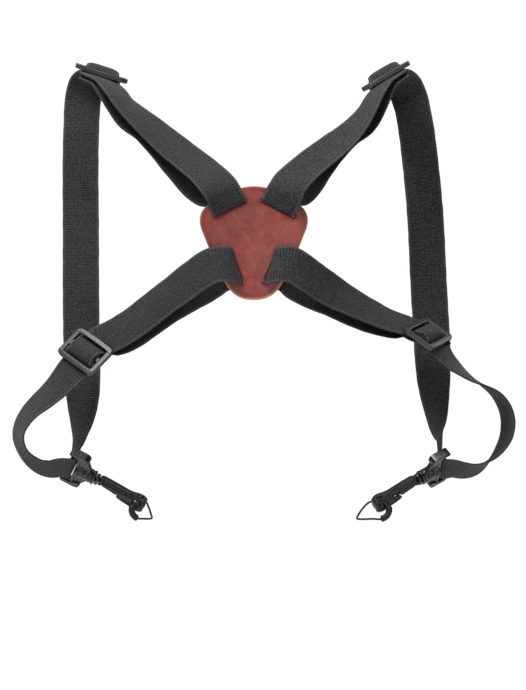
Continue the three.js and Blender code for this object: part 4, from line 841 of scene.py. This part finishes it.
def plate_layer(name, near, far, inset, material, edge_and_highlight_width, dome=0.0, disc_radius=None):
    """One leather layer, between the depths near and far in front of y = 0.

    It is built flat in (x, z) with its depth along the third axis, then turned upright.
    """
    edge = OUTLINE * (1 - inset / PLATE_HALF_WIDTH)
    parts = [prism([edge] + SLOTS, near, far)]
    if disc_radius:
        angles = np.linspace(0, 2 * math.pi, 72, endpoint=False)
        ring = [(disc_radius * math.cos(a), disc_radius * math.sin(a)) for a in angles]
        parts.append(prism([ring], 0, far - 0.3))
    me = remeshed(parts, voxel=0.36, smooth_steps=7)
    co = coords(me)
    flat = co[:, :2]
    to_edge = loop_distance(flat, edge) if inset else loop_distance(flat, OUTLINE)
    if inset:
        to_edge = loop_distance(flat, edge)
    to_slot = np.min([loop_distance(flat, slot) for slot in SLOTS], axis=0)
    if dome:
        # the leather pillows a little between its slots and dips at its edges
        front = clip01((co[:, 2] - (near + far) / 2) / ((far - near) / 2))
        lift = dome * (1 - np.exp(-np.minimum(to_edge, to_slot * 1.2) / 2.2))
        co[:, 2] += front * (lift - dome + uneven(flat) * 0.2 * clip01(to_slot / 3))
    set_coords(me, np.column_stack([co[:, 0], -co[:, 2], co[:, 1]]))
    # the cut edge is coloured over a band, which as a painted highlight grows wider and brighter towards the
    # bottom
    height = flat[:, 1]
    band_width = edge_and_highlight_width * (0.75 + 0.6 * clip01(-height / 30))
    band = clip01(1 - (to_edge - 0.15) / band_width) ** 1.2
    lower = np.clip((-height + 8) / 40, 0.15, 1)
    point_attribute(me, "edge_colour_and_highlight", clip01(band * (0.35 + 0.65 * lower)))
    # painted shade round the slots, where the straps pass through, and a darker band just inside the edge
    margin = np.exp(-np.abs(to_edge - 2.4) / 1.3)
    point_attribute(me, "slot_shade_and_margin", clip01(np.exp(-to_slot / 1.3) + 0.55 * margin))
    ob = place(name, me, material)
    # guards against a skin that faces inwards
    if sum(p.normal.y * p.area * p.center.y for p in ob.data.polygons) < 0:
        ob.data.flip_normals()
    return ob


plate_face = plate_layer("leather_plate_face", near=2.35, far=4.4, inset=0.0,
                         material=LEATHER_FACE, edge_and_highlight_width=1.5, dome=0.30)
plate_back = plate_layer("leather_plate_back", near=0.2, far=2.05, inset=0.25,
                         material=LEATHER_BACK, edge_and_highlight_width=1.0, disc_radius=12)
register(plate_face, "harness", "back_plate_outer")
register(plate_back, "harness", "back_plate_inner")

# ------------------------------------------------------------------ straps
# one entry per section; lengths are along the path, calm is 0 where hardware holds the band flat
Path = namedtuple("Path", "centres across widths lengths tangents calm")
STATION_STEP = 1.25  # longest gap between sections
HALF_THICKNESS = 0.75
SELVAGE_RADIUS = HALF_THICKNESS * 0.8


def path_tangents(centres):
    return unit(np.gradient(centres, axis=0))


def square_to(across, tangents):
    return unit(across - tangents * np.sum(across * tangents, axis=1)[:, None])


def distance_to(centres, points):
    """Distance from each centre to the nearest of the points."""
    return np.min([np.linalg.norm(centres - np.array(p), axis=1) for p in points], axis=0)


def centre_line(rows):
    """Sections through the stations: centres, across, widths, and place among the stations."""
    rows = np.array(rows, float)
    points, directions, station_widths = rows[:, :3], rows[:, 3:6], rows[:, 6]
    extended = np.vstack([2 * points[0] - points[1], points, 2 * points[-1] - points[-2]])
    centres, across, widths, stations = [], [], [], []
    last = len(points) - 2
    for i in range(last + 1):
        gap = np.linalg.norm(points[i + 1] - points[i])
        steps = max(3, int(math.ceil(gap / STATION_STEP)))
        for j in range(steps + (1 if i == last else 0)):
            f = j / steps
            turn = smoothstep(f)
            centres.append(centripetal(extended[i:i + 4], f))
            across.append(unit(directions[i] * (1 - turn) + directions[i + 1] * turn))
            widths.append(station_widths[i] * (1 - f) + station_widths[i + 1] * f)
            stations.append(i + f)
    centres, across = np.array(centres), np.array(across)
    # average the direction across along the path, so that the band twists evenly
    tangents = path_tangents(centres)
    across = square_to(across, tangents)
    for _ in range(26):
        across[1:-1] = 0.5 * across[1:-1] + 0.25 * (across[2:] + across[:-2])
        across = square_to(across, tangents)
    return centres, across, np.array(widths), np.array(stations)


def relax(centres, fixed):
    """Takes the last kinks out of the runs that lie clear of the fixed points."""
    freedom = clip01((distance_to(centres, fixed) - 15) / 10)[:, None]
    for _ in range(10):
        middle = 0.5 * (centres[2:] + centres[:-2])
        centres[1:-1] += freedom[1:-1] * 0.5 * (middle - centres[1:-1])


def band_profile():
    """Section of the band: place across -1..1, face (1 or -1, between on edges), edge bulge."""
    steps, edge_steps = 18, 5
    half = [(-1 + 2 * k / steps, 1.0, 0) for k in range(steps + 1)]
    for k in range(1, edge_steps):
        a = math.pi / 2 - math.pi * k / edge_steps
        half.append((1.0, math.sin(a), math.cos(a)))
    return np.vstack([half, -np.array(half)])


def ripples(lengths, *waves):
    """Sum of sines along the path, each (height, length per radian, phase)."""
    return sum(height * np.sin(lengths / length + phase) for height, length, phase in waves)


def ribbon(name, path, slider, seed):
    """A woven band with rounded selvages, a slight cup and small waves."""
    centres, across, widths, lengths, tangents, calm = path
    normals = np.cross(tangents, across)
    # where the band arches over the middle bar of a slider it narrows and its edges droop
    offset = centres - np.array(slider.centre, float)
    slider_normal = np.array(slider.normal, float)
    arch = smoothstep(
        clip01((offset @ slider_normal - 0.9) / 2.4)
        * clip01((7.2 - np.abs(offset @ np.array(slider.along, float))) / 2.0)
        * (np.linalg.norm(offset, axis=1) < 12))
    droop = arch * np.sign(np.sum(normals * slider_normal, axis=1)) * 1.15
    widths = widths * (1 - 0.085 * arch)
    cup = calm * ripples(lengths, (0.55, 83.0, seed))
    wave = calm * ripples(lengths, (0.38, 11.5, 1.3 * seed), (0.28, 23.0, 2.1 * seed))
    fray = ripples(lengths, (0.10, 3.1, seed), (0.08, 1.7, 2 * seed))
    ribs = ripples(lengths, (0.035, 2.6 / (2 * math.pi), 0))

    profile = band_profile()
    count, per = len(centres), len(profile)
    verts = np.zeros((count, per, 3))
    cloth = np.zeros((count, per, 3))
    selvage = np.zeros((count, per))
    for j, (x, face, bulge) in enumerate(profile):
        aside = x * (widths / 2 - SELVAGE_RADIUS + fray * 0.6) + bulge * SELVAGE_RADIUS
        lift = (HALF_THICKNESS + ribs) * face * (1 - 0.10 * abs(x) ** 8)
        lift = lift + cup * (1 - x * x) - cup * 0.5
        lift = lift + wave * (0.35 + 0.65 * x * x) - droop * abs(x) ** 5
        verts[:, j] = centres + across * aside[:, None] + normals * lift[:, None]
        cloth[:, j, 0] = aside
        cloth[:, j, 1] = lengths
        cloth[:, j, 2] = (3.0 if face >= 0 else -3.0) + 10 * seed  # keeps the noise apart
        from_edge = np.abs(np.abs(aside) - (widths / 2 - 0.62))
        selvage[:, j] = clip01(1 - from_edge / 0.55) * (0.75 + 0.25 * np.sin(lengths * 2.9 + seed))
    faces = []
    for i in range(count - 1):
        a, b = i * per, (i + 1) * per
        for j in range(per):
            j2 = (j + 1) % per
            faces.append((a + j, b + j, b + j2, a + j2))
    # closed ends
    faces.append(tuple(range(per)))
    faces.append(tuple(reversed(range((count - 1) * per, count * per))))
    me = mesh_from(name, verts.reshape(-1, 3) * MM, faces)
    point_attribute(me, "cloth", cloth.reshape(-1, 3))
    point_attribute(me, "selvage", selvage.ravel())
    me.materials.append(WEBBING)
    face_outward(me)
    return add_object(name, me), per


def strap(side, rows, upper, lower, eye, eye_row, seed):
    """One side's strap, as an upper and a lower object that meet at the hook's eye."""
    sign = -1 if side == "left" else 1
    slots = [(sign * x, y, z) for x, y, z in (UPPER_SLOT_CENTRE, LOWER_SLOT_CENTRE)]
    sliders = [upper.centre, lower.centre]
    centres, across, widths, stations = centre_line(rows)
    relax(centres, [*sliders, eye.centre, *slots])
    tangents = path_tangents(centres)
    # the hardware keeps the band flat out to these distances; waves grow over the next 26 mm
    clear = np.min([distance_to(centres, sliders) - 14, distance_to(centres, slots) - 8,
                    distance_to(centres, [eye.centre]) - 10], axis=0)
    path = Path(centres, square_to(across, tangents), widths, path_lengths(centres), tangents,
                smoothstep(clear / 26))
    cut = int(np.argmin(np.abs(stations - eye_row)))
    for half, part, slider in (("upper", slice(0, cut + 1), upper),
                               ("lower", slice(cut, len(centres)), lower)):
        piece = Path(*(values[part] for values in path))
        ob, per = ribbon(f"strap_{side}_{half}", piece, slider, seed)
        # follows the slider fully within 15.5 mm of it, and less over 52 mm of path
        near = distance_to(piece.centres, [slider.centre]) < 15.5
        gap = np.abs(piece.lengths[:, None] - piece.lengths[near]).min(axis=1)
        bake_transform(ob, "harness", f"{half}_slider_{side}", (0, 0, 0), (0, 0, 0.1))
        point_attribute(ob.data, "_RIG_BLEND", np.repeat(smoothstep(1 - gap / 52), per))
        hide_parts(f"strap_{side}")


strap("left", STRAP_LEFT, UPPER_LEFT, LOWER_LEFT, EYE_LEFT, EYE_ROW_LEFT, seed=1)
strap("right", STRAP_RIGHT, UPPER_RIGHT, LOWER_RIGHT, EYE_RIGHT, EYE_ROW_RIGHT, seed=2)

# ------------------------------------------------------------------ tri-glide sliders
SLIDER_WIDTH, SLIDER_HEIGHT, SLIDER_THICKNESS = 34.7, 23.8, 2.2
WINDOW_WIDTH = 27.5
HALF_BAR = 1.5
WINDOW_HEIGHT = 23.0 / 2 - 3.2 - HALF_BAR
RAIL_Y = 9.9  # middle of each outer rail


def slider_mesh(up):
    """Frame with two windows; x across, y along, up is the sign of z on the strap's side."""
    loops = [round_rect(SLIDER_WIDTH, SLIDER_HEIGHT, radius=3.6, steps=10)]
    for side in (-1, 1):
        loops.append(round_rect(WINDOW_WIDTH, WINDOW_HEIGHT, radius=1.2,
                                centre_y=side * (HALF_BAR + WINDOW_HEIGHT / 2), steps=6))
    me = remeshed([prism(loops, -SLIDER_THICKNESS / 2, SLIDER_THICKNESS / 2)],
                  voxel=0.22, smooth_steps=15)
    co = coords(me)
    # x, y and z are views: each step below works on the shape the last one left
    x, y, z = co.T
    rail = smoothstep((np.abs(y) - 7.6) / 1.4)
    span = 1 - (x / 17.25) ** 2
    z += 0.32 * span - 0.18
    # the outer rails swell at mid span and their faces are crowned
    y += np.sign(y) * (0.30 * span - 0.15) * rail
    face = clip01(np.abs(z) / 0.8) * np.sign(z)
    crown = clip01(1 - ((np.abs(y) - RAIL_Y) / 1.6) ** 2) * rail
    z += face * 0.12 * crown * clip01(1.1 - (x / 15.5) ** 4)
    # the rails fall away a little towards their outer edges
    z -= up * 0.15 * (np.abs(y) - RAIL_Y) * rail
    # the frame is heavier than the middle bar, mostly on the up side
    heavy = np.maximum(rail, clip01((np.abs(x) - 13.6) / 0.9))
    z += heavy * np.where(z * up > 0, up * 0.55, -up * 0.25) * clip01(np.abs(z) / 0.7)
    set_coords(me, co)
    return me


for body, slider in (
    ("upper_slider_left", UPPER_LEFT), ("upper_slider_right", UPPER_RIGHT),
    ("lower_slider_left", LOWER_LEFT), ("lower_slider_right", LOWER_RIGHT),
):
    faces_up = np.dot(np.cross(slider.across, slider.along), slider.normal) > 0
    ob = place(body + "_frame", slider_mesh(1.0 if faces_up else -1.0), SLIDER_PLASTIC,
               slider.centre, slider.across, slider.along)
    register(ob, body, body)

# ------------------------------------------------------------------ swivel snap hooks
# Their frame has its origin in the middle of the eye's bar and x along the hook. In the eye
# y runs along the bar; in all the other pieces y points down.
EYE_ARM = [  # x, y
    (-2.7, 13.7), (-2.7, 15.6), (-1.4, 16.8), (8.8, 16.8), (10.8, 16.0), (11.8, 14.0),
    (11.9, 11.6), (9.0, 11.2), (5.0, 13.7)]
EYE_SHOULDER = [(4.5, 13.9), (9.5, 13.9), (11.7, 11.8), (13.4, 8.6), (15.2, 5.4), (15.5, 3.6)]  # x, y
BARREL = [  # radius, x
    (0, 5.0), (4.2, 5.0), (4.9, 5.6), (4.9, 10.1), (4.5, 10.35), (4.5, 10.85), (4.9, 11.1),
    (4.9, 13.7), (4.45, 13.95), (4.45, 14.45), (4.9, 14.7), (4.9, 16.6), (4.4, 16.9), (4.4, 17.4),
    (5.0, 17.7), (5.0, 19.1), (4.7, 19.4), (1.95, 19.4), (1.95, 17.6), (0, 17.6)]
STEM = [  # radius, x
    (0, 6.3), (1.9, 6.3), (2.5, 6.6), (2.7, 7.1), (2.6, 7.9), (1.5, 7.9), (1.5, 19.7),
    (3.5, 19.72), (4.0, 20.1), (4.15, 20.7), (4.0, 21.2), (4.15, 21.7), (3.8, 22.15), (3.2, 22.3),
    (0, 22.3)]
HOOK_OUTLINE = [  # x, y
    (22.6, -3.7), (24.2, -4.3), (30, -4.2), (38, -3.9), (44, -3.6), (47.5, -3.9), (50.2, -4.6),
    (53.2, -4.8), (55.8, -3.9), (57.4, -1.6), (58.0, 1.2), (57.4, 4.0), (55.4, 6.1), (52.4, 6.9),
    (49.4, 6.5), (46.4, 6.1), (42, 5.7), (38.6, 5.2), (37.6, 4.7), (37.6, 2.95), (39.6, 2.8),
    (44, 2.6), (48.8, 2.25), (50.6, 2.2), (51.4, 2.42), (52.15, 2.1), (52.45, 1.35), (52.15, 0.6),
    (51.4, 0.3), (50.65, 0.6), (50.2, 1.3), (48.6, 1.75), (44, 1.75), (42.4, 1.5), (41.4, 0.95),
    (39, 0.7), (33, 0.25), (25.4, -0.7), (24.9, -0.3), (24.9, 2.4), (24.2, 3.0), (22.6, 3.0)]
HOOK_LOBES = [  # centre, radii
    ((53.6, -2.5, 0), (4.3, 2.5, 3.1)), ((55.6, 1.4, 0), (2.4, 3.8, 2.8)),
    ((53.2, 5.0, 0), (4.6, 2.3, 3.1)), ((40.4, 4.2, 0), (2.6, 1.2, 2.75)),
    ((24.2, -0.6, 0), (1.9, 3.7, 2.9))]
# outlines of the thin cheeks on both flanks: one long one on the left hook, two on the right
CHEEKS_LEFT = [[(25.2, -3.4), (50.2, -3.4), (50.2, 4.2), (37.6, 3.9), (36.4, 2.3), (25.2, 2.0)]]
CHEEKS_RIGHT = [
    [(25.2, -3.4), (37.4, -3.4), (37.4, 2.5), (25.2, 2.0)],
    [(43.4, -3.4), (50.2, -3.4), (50.2, 4.4), (43.4, 4.0)]]
GATE_OUTLINE = [  # x, y
    (25.4, -0.1), (27.5, 0.15), (33, 0.95), (38, 1.4), (40.2, 1.65), (40.6, 2.0), (40.2, 2.35),
    (37.3, 2.5), (37.0, 3.3), (36.2, 3.7), (33, 3.3), (27.5, 2.9), (25.4, 2.5)]
# closed centre lines of the cord loops: x, y, z, with z mirrored on the right
CORD_LEFT = [
    (51.4, 1.35, 0), (51.35, 1.45, -2.6), (50.9, 3.4, -5.0), (51.0, 6.6, -5.7), (53.6, 9.6, -5.4),
    (57.4, 10.5, -4.4), (61.0, 9.1, -3.0), (64.6, 7.4, -1.6), (65.8, 6.3, 0.3), (64.2, 4.6, 1.9),
    (60.6, 1.2, 3.3), (56.6, -1.3, 4.1), (53.2, 0.2, 3.9), (51.6, 1.25, 2.4)]
CORD_RIGHT = [
    (51.4, 1.35, 0), (51.35, 1.45, -2.6), (50.9, 3.6, -5.0), (51.2, 6.8, -5.7), (54.4, 9.8, -5.4),
    (58.8, 10.0, -4.4), (63.4, 7.6, -3.0), (69.8, 4.6, -1.6), (72.4, 2.9, 0.2), (69.6, 1.5, 1.9),
    (64.2, -0.5, 3.3), (58.2, -1.6, 4.2), (53.6, -0.1, 4.0), (51.6, 1.2, 2.4)]
CORD_STEPS = 620
CORD_RADIUS = 0.7
SLEEVE_RADIUS, SLEEVE_BORE = 2.15, 1.1


def eye_mesh():
    """Two arms, the bar between them, a shoulder with a lip, and the ringed barrel."""
    parts = []
    for side in (-1, 1):
        arm = [(x, side * y) for x, y in EYE_ARM]
        parts.append(prism([smooth_corner(arm[::side], 0.9)], -3.0, 3.0))
    shoulder = EYE_SHOULDER + [(x, -y) for x, y in EYE_SHOULDER[::-1]]
    parts.append(prism([smooth_corner(shoulder, 0.6)], -1.65, 1.65))
    lip = [(4.15, -13.9), (4.15, 13.9), (6.3, 13.9), (6.3, -13.9)]
    parts.append(prism([smooth_corner(lip, 0.3)], -2.3, 2.3))
    bar, bar_faces = lathe([(0, -15.4), (1.4, -15.4), (1.4, 15.4), (0, 15.4)], 28)
    parts.append((bar[:, [1, 0, 2]], bar_faces))
    parts.append(lathe(BARREL, 48))
    # two moulded pads, one on each face of the barrel
    pad = [(6.9, -1.5), (6.9, 1.5), (9.6, 1.5), (9.6, -1.5)]
    for z0, z1 in ((4.1, 5.35), (-5.35, -4.1)):
        parts.append(prism([smooth_corner(pad, 0.5)], z0, z1))
    return remeshed(parts, voxel=0.19, smooth_steps=12)


def stem_mesh():
    """The pin inside the barrel with its collar, in rings at most 0.5 mm apart."""
    profile = []
    for (r0, x0), (r1, x1) in zip(STEM[:-1], STEM[1:]):
        steps = max(1, int(math.hypot(r1 - r0, x1 - x0) / 0.5))
        for k in range(steps):
            profile.append((r0 + (r1 - r0) * k / steps, x0 + (x1 - x0) * k / steps))
    profile.append(STEM[-1])
    return mesh_from("stem", *lathe(profile, 48))


def hook_mesh(cheeks):
    parts = [prism([smooth_corner(HOOK_OUTLINE, 0.7, 3)], -2.4, 2.4)]
    parts += [ellipsoid(centre, radii) for centre, radii in HOOK_LOBES]
    for cheek in cheeks:
        for z0, z1 in ((2.3, 2.95), (-2.95, -2.3)):
            parts.append(prism([smooth_corner(cheek, 0.5, 3)], z0, z1))
    me = remeshed(parts, voxel=0.17, smooth_steps=11)
    co = coords(me)
    # views: the crowning below works on flanks that already have their channel
    x, y, z = co.T
    flank = clip01((np.abs(z) - 2.35) / 0.35) * np.sign(z)
    # a shallow moulded channel along the shank
    lane = np.exp(-((y + 1.9 - (x - 27) * 0.02) / 0.75) ** 4) * between(x, 27, 46.5, fade=1.5)
    z -= flank * 0.34 * lane
    # the flanks are crowned
    crown = clip01((np.abs(y + 0.6) - 1.9) / 2.4) * between(x, 26, 50, fade=2)
    z -= flank * 0.45 * crown * clip01((np.abs(z) - 2.35) / 0.3)
    set_coords(me, co)
    return me


def gate_mesh():
    """The tongue, with fine ridges on its raised end."""
    outline = smooth_corner(GATE_OUTLINE, 0.35, 3)
    me = remeshed([prism([outline], -2.0, 2.0)], voxel=0.18, smooth_steps=4)
    co = coords(me)
    x, y, _ = co.T
    grip = between(x, 32.5, 36.6, fade=0.8, fade_high=0.6) * clip01((y - 2.4) / 0.5)
    ridge_height, ridge_pitch = 0.10, 1.0
    y += ridge_height * grip * np.sin(x * 2 * math.pi / ridge_pitch)
    set_coords(me, co)
    return me


def closed_curve(points):
    """Evenly spaced points on a closed curve, and its length."""
    points = np.array(points, float)
    count = len(points)
    out = []
    for i in range(count):
        four = points[[(i + k) % count for k in (-1, 0, 1, 2)]]
        out += [centripetal(four, k / 40) for k in range(40)]
    out = np.array(out + [out[0]])
    lengths = path_lengths(out)
    even = np.linspace(0, lengths[-1], CORD_STEPS, endpoint=False)
    return np.column_stack([np.interp(even, lengths, out[:, k]) for k in range(3)]), lengths[-1]


def carried_frames(curve, closed):
    """Two directions square to the curve that turn as little as possible."""
    if closed:
        tangents = unit(np.roll(curve, -1, 0) - np.roll(curve, 1, 0))
    else:
        tangents = path_tangents(curve)
    sides = [unit(np.cross(tangents[0], (0.3, 0.2, 0.93)))]
    for t in tangents[1:]:
        sides.append(unit(sides[-1] - t * (sides[-1] @ t)))
    sides = np.array(sides)
    if closed:
        # spread the twist left at the seam over the whole loop
        first = tangents[0]
        last = unit(sides[-1] - first * (sides[-1] @ first))
        angle = math.atan2(np.dot(np.cross(last, sides[0]), first), np.dot(last, sides[0]))
        turn = np.linspace(0, angle, len(curve))[:, None]
        sides = sides * np.cos(turn) + np.cross(tangents, sides) * np.sin(turn)
    return sides, np.cross(tangents, sides)


def around(centre, side, up, radius, angles):
    """A ring of points round a centre."""
    return (centre + np.outer(radius * np.cos(angles), side)
            + np.outer(radius * np.sin(angles), up))


def ring_faces(rings, per):
    """Quads between rings; the last ring joins the first."""
    faces = []
    for i in range(rings):
        i2 = (i + 1) % rings
        for k in range(per):
            k2 = (k + 1) % per
            faces.append((i * per + k, i * per + k2, i2 * per + k2, i2 * per + k))
    return faces


def cord_mesh(points):
    """A closed braided cord."""
    curve, length = closed_curve(points)
    sides, ups = carried_frames(curve, closed=True)
    per = 20
    angles = 2 * math.pi * np.arange(per) / per
    turns = round(length / 3.4)
    verts, cloth = [], []
    for i in range(CORD_STEPS):
        phase = 2 * math.pi * turns * i / CORD_STEPS
        strand = np.maximum(np.abs(np.cos(2 * angles + phase)), np.abs(np.cos(2 * angles - phase)))
        radius = CORD_RADIUS * (0.90 + 0.10 * strand)
        verts.extend(around(curve[i], sides[i], ups[i], radius, angles))
        cloth += [(a * CORD_RADIUS, i * length / CORD_STEPS, 0) for a in angles]
    me = mesh_from("cord", verts, ring_faces(CORD_STEPS, per))
    point_attribute(me, "cloth", cloth)
    return me


def sleeve_mesh(points, start, end):
    """A ringed tube on the cord between two fractions of the loop."""
    curve, length = closed_curve(points)
    curve = curve[int(start * CORD_STEPS):int(end * CORD_STEPS) + 1]
    sides, ups = carried_frames(curve, closed=False)
    count, per = len(curve), 40
    angles = 2 * math.pi * np.arange(per) / per
    along = np.arange(count) * length / CORD_STEPS
    to_end = np.minimum(along, along[-1] - along)
    outer = (
        SLEEVE_RADIUS
        - 0.32 * np.exp(-to_end / 0.35)  # rounded ends
        + 0.045 * np.sin(along * 2 * math.pi / 1.15) * clip01(to_end)  # fine rings
        + 0.10 * np.exp(-((to_end - 0.9) / 0.5) ** 2))  # a bead near each end
    end_radius = (SLEEVE_RADIUS + SLEEVE_BORE) / 2 - 0.1
    # out along the outside, back through the bore
    rings = [*enumerate(outer), (count - 1, end_radius),
             *((i, SLEEVE_BORE) for i in range(count - 1, -1, -1)), (0, end_radius)]
    verts = []
    for i, radius in rings:
        verts.extend(around(curve[i], sides[i], ups[i], radius, angles))
    return mesh_from("sleeve", verts, ring_faces(len(rings), per))


def snap_hook(side, eye, cheeks, cord, sleeve_span):
    x = unit(eye.axis)
    across = np.array(eye.across, float)
    across = unit(across - x * (across @ x))
    down = unit(np.array([0, 0, -1.0]) + x * x[2])
    # object name, mesh, material, y direction, body, piece replaced, slot, turn faces outward
    for name, me, material, y, body, node, slot, outward in (
        ("swivel_eye", eye_mesh(), HOOK_PLASTIC, across, "eye", "hook_eye", "hook_plastic", False),
        ("swivel_collar", stem_mesh(), HOOK_PLASTIC, down,
         "hook", "swivel_stem", "hook_plastic", True),
        ("snap_hook", hook_mesh(cheeks), HOOK_PLASTIC, down,
         "hook", "hook_body", "hook_plastic", False),
        ("snap_gate", gate_mesh(), HOOK_PLASTIC, down,
         "gate", "gate_tongue", "hook_plastic", False),
        ("lug_loop", cord_mesh(cord), CORD_FABRIC, down, "cord", "lug_cord", "cord_fabric", True),
        ("loop_sleeve", sleeve_mesh(cord, *sleeve_span), SLEEVE_RUBBER, down,
         "cord", "cord_sleeve", "cord_fabric", True),
    ):
        ob = place(f"{name}_{side}", me, material, eye.centre, x, y, outward)
        register(ob, f"{body}_{side}", f"{node}_{side}")


snap_hook("left", EYE_LEFT, CHEEKS_LEFT, CORD_LEFT, sleeve_span=(0.145, 0.345))
snap_hook("right", EYE_RIGHT, CHEEKS_RIGHT, [(x, y, -z) for x, y, z in CORD_RIGHT],
          sleeve_span=(0.125, 0.30))


# ------------------------------------------------------------------ floor, lights, camera (m)
def floor_material():
    """White paper that looks almost evenly lit to the camera."""
    sh = Shader("floor_paper")
    position = sh.node("ShaderNodeNewGeometry").outputs["Position"]
    paper = sh.noise(position, scale=3.0)
    sh.finish({"Base Color": sh.mix(paper, (0.95, 0.95, 0.95), (0.97, 0.97, 0.97)),
               "Roughness": 0.9})
    glow = sh.node("ShaderNodeEmission", {1: 1.06})
    camera_ray = sh.node("ShaderNodeLightPath").outputs["Is Camera Ray"]
    mixed = sh.node("ShaderNodeMixShader", {
        0: sh.mul(camera_ray, 0.985), 1: sh.surface.outputs[0], 2: glow.outputs[0]})
    sh.put(sh.output.inputs[0], mixed.outputs[0])
    return sh.material


FLOOR_HALF, FLOOR_Z = 9, -0.62
floor_corners = [(x * FLOOR_HALF, y * FLOOR_HALF, FLOOR_Z)
                 for x, y in ((-1, -1), (1, -1), (1, 1), (-1, 1))]
floor = add_object("floor", mesh_from("floor", floor_corners, [(0, 1, 2, 3)]))
floor.data.materials.append(floor_material())

# name, location, target, size, power in watts
for name, location, target, size, power in (
    ("key", (-0.75, -0.95, 1.45), (0, 0.03, -0.03), (0.7, 0.7), 25),
    ("crown", (0.30, -0.60, 1.55), (0, 0.03, -0.05), (1.7, 0.2), 7),
    ("sheen", (-0.53, -0.18, 1.37), (-0.1, 0.03, -0.07), (0.42, 0.42), 5),
    ("front", (0.10, -1.62, 0.02), (0, 0.03, 0.0), (0.35, 0.35), 1.4),
    ("fill", (1.5, -1.5, 0.25), (0, 0.03, -0.05), (0.8, 1.0), 3.2),
    ("top", (0.0, 0.25, 1.6), (0, 0.03, -0.03), (1.3, 0.6), 7),
    ("rim_left", (-1.5, 1.0, 0.5), (0, 0.03, -0.03), (0.4, 1.2), 4.5),
    ("rim_right", (1.5, 1.0, 0.7), (0, 0.03, -0.03), (0.5, 1.2), 4.5),
):
    light = bpy.data.lights.new(name, "AREA")
    light.shape = "RECTANGLE"
    light.size, light.size_y = size
    light.energy = power
    lamp = add_object(name, light)
    lamp.location = location
    lamp.rotation_mode = "QUATERNION"
    lamp.rotation_quaternion = (Vector(target) - Vector(location)).to_track_quat("-Z", "Y")


def studio_world():
    """White to the camera, a dim cool light to everything else."""
    world = bpy.data.worlds.new("studio")
    world.use_nodes = True
    tree = world.node_tree
    tree.nodes.clear()
    output = tree.nodes.new("ShaderNodeOutputWorld")
    mixed = tree.nodes.new("ShaderNodeMixShader")
    ray = tree.nodes.new("ShaderNodeLightPath")
    tree.links.new(ray.outputs["Is Camera Ray"], mixed.inputs[0])
    for socket, colour, strength in ((1, (0.93, 0.96, 1.0, 1), 0.075), (2, (1, 1, 1, 1), 1.02)):
        background = tree.nodes.new("ShaderNodeBackground")
        background.inputs[0].default_value = colour
        background.inputs[1].default_value = strength
        tree.links.new(background.outputs[0], mixed.inputs[socket])
    tree.links.new(mixed.outputs[0], output.inputs[0])
    return world


scene.world = studio_world()
scene.view_settings.view_transform = "Standard"
scene.view_settings.look = "None"

CAMERA_DISTANCE = 1.4
VIEW_WIDTH = 0.4485  # seen at y = 0
camera = bpy.data.cameras.new("camera")
camera.sensor_width = 36
camera.lens = 36 * CAMERA_DISTANCE / VIEW_WIDTH
camera.clip_start, camera.clip_end = 0.05, 40
camera_object = add_object("camera", camera)
camera_object.location = (0.00598, -CAMERA_DISTANCE, -0.06604)
camera_object.rotation_euler = (math.pi / 2, 0, 0)
scene.camera = camera_object
